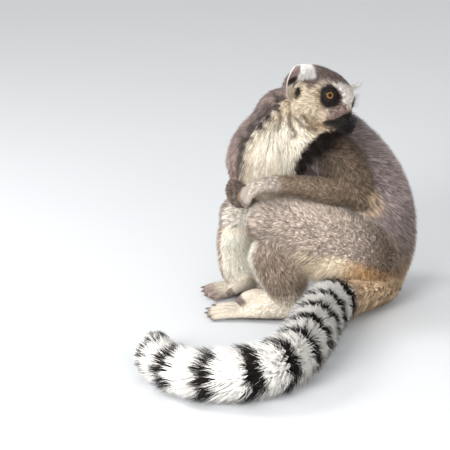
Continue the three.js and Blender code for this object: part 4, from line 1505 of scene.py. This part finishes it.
def eye_material(side, centre, look, sizes):
    """An eye coloured by the angle from its gaze: black pupil, streaked amber iris, dark rim and a near-black
    ball beyond.
    """
    material, tree, shader = new_material("lemur_eye_" + side)
    place = node(tree, "ShaderNodeTexCoord")
    shift = node(tree, "ShaderNodeVectorMath", operation="SUBTRACT")
    shift.inputs[1].default_value = tuple(to_world(centre))
    direction = node(tree, "ShaderNodeVectorMath", operation="NORMALIZE")
    facing = node(tree, "ShaderNodeVectorMath", operation="DOT_PRODUCT")
    facing.inputs[1].default_value = tuple(look)
    angle = node(tree, "ShaderNodeMath", operation="ARCCOSINE")
    noise = node(tree, "ShaderNodeTexNoise", Scale=520.0, Detail=3.0)
    wobble = node(tree, "ShaderNodeMath", operation="MULTIPLY_ADD")
    wobble.inputs[1].default_value = 0.05
    share = node(tree, "ShaderNodeMath", operation="MULTIPLY")
    share.inputs[1].default_value = 1 / (1.25 * sizes.iris)
    ramp = node(tree, "ShaderNodeValToRGB")
    pupil = sizes.pupil / (1.25 * sizes.iris)
    stops = [(0.0, (4, 3, 3)), (pupil, (5, 4, 3)), (pupil + 0.05, (62, 37, 6)), (0.55, (116, 76, 11)),
             (0.70, (76, 46, 8)), (0.76, (20, 13, 8)), (0.8, (9, 7, 6)), (1.0, (12, 9, 8))]
    ramp.color_ramp.elements.remove(ramp.color_ramp.elements[1])
    ramp.color_ramp.elements[0].color = (*linear(*stops[0][1]), 1)
    for at, steps in stops[1:]:
        ramp.color_ramp.elements.new(at).color = (*linear(*steps), 1)
    link = tree.links.new
    link(place.outputs["Object"], shift.inputs[0])
    link(place.outputs["Object"], noise.inputs["Vector"])
    link(shift.outputs["Vector"], direction.inputs[0])
    link(direction.outputs["Vector"], facing.inputs[0])
    link(facing.outputs["Value"], angle.inputs[0])
    link(noise.outputs["Fac"], wobble.inputs[0])
    link(angle.outputs["Value"], wobble.inputs[2])
    link(wobble.outputs["Value"], share.inputs[0])
    link(share.outputs["Value"], ramp.inputs["Fac"])
    link(ramp.outputs["Color"], shader.inputs["Base Color"])
    surface(shader, Roughness=0.12, Specular_IOR_Level=0.0, Coat_Weight=1.0, Coat_Roughness=0.03)
    return material


EYE_GRID = (40, 56)
EYE_INSET, CORNEA = 0.15, 0.55  # how far the ball lies inside its solid, and how far the cornea bulges
RIM_OVER, RIM_THICK, RIM_WIDE = 0.25, 0.65, 0.95  # the lid rim's middle over the eyeball, and its half sizes


class LEMUR_OT_eyes(bpy.types.Operator):
    """Builds both eyeballs with their corneas, and the dark rim of the lids"""
    bl_idname = "lemur.eyes"
    bl_label = "Eyes"

    def execute(self, context):
        sizes = context.scene.lemur_face
        rim_leather = leather_material("lemur_lid_leather", (20, 17, 16), 0.7, 1400.0)
        for side, (centre, radius) in eye_places().items():
            look = gaze(side)
            first, second = basis(look)
            polar, turn = ball_grid(*EYE_GRID)
            bulge = radius - EYE_INSET + CORNEA * np.exp(-(polar / sizes.iris) ** 4)
            ring = (np.cos(turn)[:, None] * first + np.sin(turn)[:, None] * second)
            body = centre + bulge[:, None] * (np.cos(polar)[:, None] * look + np.sin(polar)[:, None] * ring)
            top = centre + (radius - EYE_INSET + CORNEA) * look
            end = centre - (radius - EYE_INSET) * look
            quads, caps = grid_faces(*EYE_GRID)
            eye = mesh_object("eyeball_" + side, np.vstack([top, body, end]), [quads[:, ::-1], caps[:, ::-1]])
            fix_outward(eye)
            eye.data.materials.append(eye_material(side, centre, look, sizes))
            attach(eye, "root")
            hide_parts("eye_" + side)
            rim = lid_rim(side, centre, radius, look, first, second)
            rim.data.materials.append(rim_leather)
            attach(rim, "root")
        return {"FINISHED"}


def fix_outward(piece):
    """Turns the faces outwards."""
    bm = bmesh.new()
    bm.from_mesh(piece.data)
    bmesh.ops.recalc_face_normals(bm, faces=bm.faces)
    bm.to_mesh(piece.data)
    bm.free()


def lid_rim(side, centre, radius, look, first, second):
    """The lids' bare edge: a ring tube at the opening's angle from the gaze, a little wider fore and aft."""
    around, thick = 72, 10
    turn, roll = np.meshgrid(np.arange(around) / around * 2 * np.pi, np.arange(thick) / thick * 2 * np.pi,
                             indexing="ij")
    angle = np.radians(LID_OPENING - 1) * (1 + 0.03 * np.cos(2 * turn))
    sine, cosine = np.sin(angle)[..., None], np.cos(angle)[..., None]
    outward = np.cos(turn)[..., None] * first + np.sin(turn)[..., None] * second
    spoke = sine * outward + cosine * look
    slope = cosine * outward - sine * look
    points = (centre + (radius + RIM_OVER + RIM_THICK * np.cos(roll)[..., None]) * spoke
              + RIM_WIDE * np.sin(roll)[..., None] * slope)
    i, j = np.meshgrid(np.arange(around), np.arange(thick), indexing="ij")
    at = lambda a, b: (a % around) * thick + b % thick
    quads = np.stack([at(i, j), at(i + 1, j), at(i + 1, j + 1), at(i, j + 1)], -1).reshape(-1, 4)
    rim = mesh_object("lid_rim_" + side, points.reshape(-1, 3), [quads])
    fix_outward(rim)
    return rim


NOSE_PLACE, NOSE_RADII = np.array([0, -54.5, -12.0]), np.array([6.4, 5.8, 5.5])  # in the head's frame
NOSE_GRID = (44, 64)
NOSE_FORMS = (  # place, radii and push of each mound, on both sides
    ([4.2, -58.2, -12.8], [1.9, 2.3, 1.4], [-1.6, 2.4, 0.2]),  # nostril
    ([5.7, -55.6, -11.6], [2.2, 2.4, 2.0], [0.9, -0.3, 0.3]),  # its wing
)


class LEMUR_OT_nose(bpy.types.Operator):
    """Builds the bare black nose with its nostrils"""
    bl_idname = "lemur.nose"
    bl_label = "Nose"

    def execute(self, context):
        d, quads, caps = ball(*NOSE_GRID)
        points = NOSE_PLACE + d * NOSE_RADII * (1 - 0.10 * d[:, 2:] * (d[:, 2:] < 0))
        points[:, 0] *= 1 + 0.12 * np.clip(-(points[:, 1] + 54) / 5, 0, 1)
        for sign in (-1, 1):
            for place, radii, move in NOSE_FORMS:
                mirror = np.array([sign, 1, 1])
                points += mound(points, mirror * place, radii)[:, None] * (mirror * move)
        groove = np.exp(-(points[:, 0] / 0.8) ** 2) * rise(-points[:, 1], 56, 59)
        points[:, 1] += 0.8 * groove
        nose = mesh_object("nose_leather", from_head(points), [quads, caps])
        fix_outward(nose)
        nose.data.materials.append(leather_material("lemur_nose_leather", (17, 15, 15), 0.34, 1500.0))
        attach(nose, "root")
        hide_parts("nose")
        return {"FINISHED"}


def thin_tubes(name, roots, ways, lengths, gauge, droop, around=5, steps=8):
    """Tapering hairs: each runs from its root along its way and sags by droop times its share squared."""
    t = np.linspace(0, 1, steps)
    path = roots[:, None] + t[None, :, None] * (ways * lengths[:, None])[:, None]
    path = path + (t ** 2)[None, :, None] * (droop * lengths)[:, None, None] * np.array([0, 0, -1.0])
    first = unit(np.cross(ways, [0.13, 0.2, 0.97]))
    second = np.cross(ways, first)
    a = np.arange(around) / around * 2 * np.pi
    r = gauge / 2 * (1 - 0.9 * t)
    round_it = (np.cos(a)[None, None, :, None] * first[:, None, None]
                + np.sin(a)[None, None, :, None] * second[:, None, None])
    ring = path[:, :, None] + r[None, :, None, None] * round_it
    quads, caps = grid_faces(steps, around)
    size = steps * around + 2
    body = np.concatenate([path[:, :1], ring.reshape(len(roots), -1, 3), path[:, -1:]], 1).reshape(-1, 3)
    shift = (np.arange(len(roots)) * size)[:, None, None]
    quads, caps = (quads[None] + shift).reshape(-1, 4), (caps[None] + shift).reshape(-1, 3)
    return mesh_object(name, body, [quads, caps])


WHISKER_ROWS, WHISKERS_IN_ROW, BROW_HAIRS = 3, 4, 16  # on each side
WHISKER_GAUGE, WHISKER_DROOP = 0.34, 0.18


class LEMUR_OT_whiskers(bpy.types.Operator):
    """Sets the whiskers on the lips and the long dark hairs over the eyes"""
    bl_idname = "lemur.whiskers"
    bl_label = "Whiskers"

    def execute(self, context):
        sizes = context.scene.lemur_face
        rng = np.random.default_rng(9)
        roots, ways, lengths = [], [], []
        for sign in (-1, 1):
            for row in range(WHISKER_ROWS):
                for step in range(WHISKERS_IN_ROW):
                    roots.append([sign * (8.6 + 1.3 * step), -54 + 3.4 * step, -13.5 - 2.2 * row])
                    ways.append([sign * 0.9, 0.15 + 0.12 * step, 0.15 - 0.22 * row])
                    lengths.append(sizes.whisker / MM * (0.5 + 0.14 * step))
            for step in range(BROW_HAIRS):
                roots.append([sign * (14 + 0.6 * step), -40.5 + 0.5 * step, 2 + 0.9 * step])
                ways.append([sign * (0.25 + 0.03 * step), -0.8, 0.1 + 0.05 * step])
                lengths.append(sizes.whisker / MM * (0.19 + 0.03 * (step % 3)))
        roots, ways = np.array(roots), unit(np.array(ways) + rng.normal(0, 0.07, (len(ways), 3)))
        piece = thin_tubes("whiskers", from_head(roots), ways @ HEAD_MATRIX.T, np.array(lengths),
                           WHISKER_GAUGE, WHISKER_DROOP)
        material, tree, shader = new_material("lemur_whisker")
        noise = textured(tree, "ShaderNodeTexNoise", Scale=300.0)
        two_tones(tree, shader, noise, linear(24, 20, 19), linear(74, 64, 58))
        surface(shader, Roughness=0.45)
        piece.data.materials.append(material)
        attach(piece, "root")
        return {"FINISHED"}


NAIL_GRID = (9, 14)
NAIL_WIDTH, NAIL_THICKNESS, NAIL_OUT, NAIL_UP = 0.62, 0.5, 0.75, 0.42  # in toe radii, but its thickness in mm


class LEMUR_OT_nails(bpy.types.Operator):
    """Sets a flat nail on the end of each toe and finger"""
    bl_idname = "lemur.nails"
    bl_label = "Nails"

    def execute(self, context):
        sizes = context.scene.lemur_face
        points, polygons, start = [], [], 0
        for name in NAMES:
            if not name.startswith(("toe", "finger")):
                continue
            centre, tangent, _, upright, w, _ = (v[0] for v in sections(PARTS[name], np.array([1.0])))
            up = unit(np.array([0, 0, 1.0]) - tangent[2] * tangent) if abs(tangent[2]) < 0.8 else -upright
            if name.startswith("finger_left"):
                up = unit(np.array([0.2, -1.0, 0.2]) - np.dot([0.2, -1.0, 0.2], tangent) * tangent)
            wide = np.cross(tangent, up)
            length = sizes.nail / MM * (0.75 if name.startswith("finger") else 1.0)
            shape, quads, caps = ball(*NAIL_GRID)
            shape = shape * [NAIL_WIDTH * w, length / 2, NAIL_THICKNESS]
            shape[:, 2] += 0.8 - 0.09 * shape[:, 0] ** 2 - 0.05 * np.clip(shape[:, 1], 0, 9) ** 2
            place = centre + tangent * w * NAIL_OUT + up * (w * NAIL_UP)
            body = place + shape[:, :1] * wide + shape[:, 1:2] * tangent + shape[:, 2:] * up
            points.append(body)
            polygons += [quads + start, caps + start]
            start += len(body)
        nails = mesh_object("nails", np.concatenate(points), polygons)
        fix_outward(nails)
        nails.data.materials.append(leather_material("lemur_nail", (96, 84, 76), 0.3, 500.0))
        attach(nails, "root")
        return {"FINISHED"}


# ---- Stage -------------------------------------------------------
class LemurStageSizes(bpy.types.PropertyGroup):
    """The camera, lamps and floor."""
    lens: number("Lens", "Focal length in millimetres", 146.67, 10, 400)
    distance: number("Camera distance", "From the camera to what it looks at", 2.2, 0.3, 10, unit="LENGTH")
    azimuth: number("Camera bearing", "Bearing round the lemur, from its front", math.radians(72), -math.pi,
                    math.pi, subtype="ANGLE")
    elevation: number("Camera height", "Angle above the horizon", math.radians(18), 0, math.pi / 2,
                      subtype="ANGLE")
    key: number("Key lamp", "Power of the main lamp", 62.0, 0, 500, unit="POWER")
    fill: number("Fill lamp", "Power of the lamp on the shaded side", 24.0, 0, 500, unit="POWER")
    catch: number("Catch lamp", "Power of the small lamp that lights up the eyes", 13.0, 0, 500, unit="POWER")
    sky: number("Sky", "Strength of the even light from all round", 0.82, 0, 2)
    floor: tone("Floor", "Colour of the floor", 206, 208, 210)


LOOK_AT = Vector((-0.0352, -0.1684, 0.0946))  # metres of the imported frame
FLOOR_RADII, FLOOR_SIDES = (1.5, 4.0, 9.0), 48


def lamp(name, place, aim, power, size, gloss=True):
    """A soft square lamp that faces a point, with or without its own reflection."""
    data = bpy.data.lights.new(name, "AREA")
    data.energy, data.size = power, size
    piece = bpy.data.objects.new(name, data)
    piece.location = place
    piece.visible_glossy = gloss
    piece.rotation_euler = (Vector(aim) - Vector(place)).to_track_quat("-Z", "Y").to_euler()
    bpy.context.scene.collection.objects.link(piece)


class LEMUR_OT_stage(bpy.types.Operator):
    """Sets the camera, the lamps, the even light and the floor"""
    bl_idname = "lemur.stage"
    bl_label = "Stage"

    def execute(self, context):
        scene = context.scene
        sizes = scene.lemur_stage
        back = Vector((math.sin(sizes.azimuth) * math.cos(sizes.elevation),
                       -math.cos(sizes.azimuth) * math.cos(sizes.elevation), math.sin(sizes.elevation)))
        camera = bpy.data.objects.new("camera", bpy.data.cameras.new("camera"))
        camera.data.lens, camera.data.sensor_width = sizes.lens, 36.0
        camera.data.clip_start = 0.02
        camera.location = LOOK_AT + back * sizes.distance
        camera.rotation_euler = back.to_track_quat("Z", "Y").to_euler()
        scene.collection.objects.link(camera)
        scene.camera = camera
        middle = (CAD_BOX[0] + CAD_BOX[1]) / 2
        lamp("key_lamp", middle + Vector((1.45, -1.65, 0.85)), middle, sizes.key, 1.0, gloss=False)
        lamp("fill_lamp", middle + Vector((1.8, 0.1, 0.1)), middle, sizes.fill, 1.4, gloss=False)
        face = middle + Vector((-0.08, 0.06, 0.1))
        lamp("catch_lamp", middle + Vector((-0.53, -1.14, 0.9)), face, sizes.catch, 0.5)
        world = bpy.data.worlds.new("world")
        world.use_nodes = True
        tree = world.node_tree
        tree.nodes.clear()
        path = node(tree, "ShaderNodeLightPath")
        seen = node(tree, "ShaderNodeMath", operation="MAXIMUM")
        glossy = node(tree, "ShaderNodeMath", operation="MAXIMUM")
        light = node(tree, "ShaderNodeBackground", Color=(1, 1, 1, 1), Strength=sizes.sky)
        shown = node(tree, "ShaderNodeBackground", Color=(*sizes.floor, 1), Strength=1.0)
        blend = node(tree, "ShaderNodeMixShader")
        out = node(tree, "ShaderNodeOutputWorld")
        link = tree.links.new
        link(path.outputs["Is Camera Ray"], seen.inputs[0])
        link(path.outputs["Is Transmission Ray"], seen.inputs[1])
        link(seen.outputs[0], glossy.inputs[0])
        link(path.outputs["Is Glossy Ray"], glossy.inputs[1])
        link(glossy.outputs[0], blend.inputs["Fac"])
        link(light.outputs[0], blend.inputs[1])
        link(shown.outputs[0], blend.inputs[2])
        link(blend.outputs[0], out.inputs["Surface"])
        scene.world = world
        scene.view_settings.view_transform = "Standard"
        self.floor(sizes)
        return {"FINISHED"}

    def floor(self, sizes):
        """A wide round floor: a fan round its middle and rings of points at the radii FLOOR_RADII."""
        rings = len(FLOOR_RADII)
        radius = np.repeat(FLOOR_RADII, FLOOR_SIDES) / MM
        turn = np.tile(np.arange(FLOOR_SIDES) / FLOOR_SIDES * 2 * np.pi, rings)
        ring = np.stack([radius * np.cos(turn), radius * np.sin(turn), 0 * turn], 1)
        points = np.vstack([[0, 0, 0], ring]) + SEAT
        i, j = np.meshgrid(np.arange(rings - 1), np.arange(FLOOR_SIDES), indexing="ij")
        at = lambda ring, side: 1 + ring * FLOOR_SIDES + side % FLOOR_SIDES
        quads = np.stack([at(i, j), at(i + 1, j), at(i + 1, j + 1), at(i, j + 1)], -1)
        j = np.arange(FLOOR_SIDES)
        middle = np.stack([0 * j, at(0, j), at(0, j + 1)], 1)
        floor = mesh_object("floor", points, [quads.reshape(-1, 4), middle], smooth=False)
        material, tree, shader = new_material("floor")
        noise = textured(tree, "ShaderNodeTexNoise", Scale=3.0)
        shade = np.array(sizes.floor)
        two_tones(tree, shader, noise, shade * 0.985, shade * 1.015)
        surface(shader, Roughness=0.9, Specular_IOR_Level=0.1)
        floor.data.materials.append(material)


class LEMUR_PT_panel(bpy.types.Panel):
    """Lists the steps that build the lemur, and their sizes and colours"""
    bl_idname = "LEMUR_PT_panel"
    bl_label = "Ring-tailed lemur"
    bl_space_type = "VIEW_3D"
    bl_region_type = "UI"
    bl_category = "Lemur"

    def draw(self, context):
        for step in STEPS:
            self.layout.operator("lemur." + step)
        for group in GROUPS:
            box = self.layout.box()
            for key in GROUPS[group].__annotations__:
                box.prop(getattr(context.scene, group), key)


STEPS = ("stage", "skin", "eyes", "nose", "coat", "ear_hair", "whiskers", "nails")
GROUPS = {"lemur_stage": LemurStageSizes, "lemur_skin": LemurSkinSizes, "lemur_coat": LemurCoatSizes,
          "lemur_face": LemurFaceSizes, "lemur_tones": LemurTones}
OPERATORS = (LEMUR_OT_stage, LEMUR_OT_skin, LEMUR_OT_eyes, LEMUR_OT_nose, LEMUR_OT_coat, LEMUR_OT_ear_hair,
             LEMUR_OT_whiskers, LEMUR_OT_nails)


def register():
    """Registers the classes and hangs each group of sizes on the scene."""
    for made in (*GROUPS.values(), *OPERATORS, LEMUR_PT_panel):
        bpy.utils.register_class(made)
    for name, made in GROUPS.items():
        setattr(bpy.types.Scene, name, bpy.props.PointerProperty(type=made))


def unregister():
    """Undoes register()."""
    for name in GROUPS:
        delattr(bpy.types.Scene, name)
    for made in reversed((*GROUPS.values(), *OPERATORS, LEMUR_PT_panel)):
        bpy.utils.unregister_class(made)


def main():
    """Builds every piece in order."""
    register()
    for step in STEPS:
        getattr(bpy.ops.lemur, step)()
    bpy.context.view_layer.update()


if __name__ == "__main__":
    main()
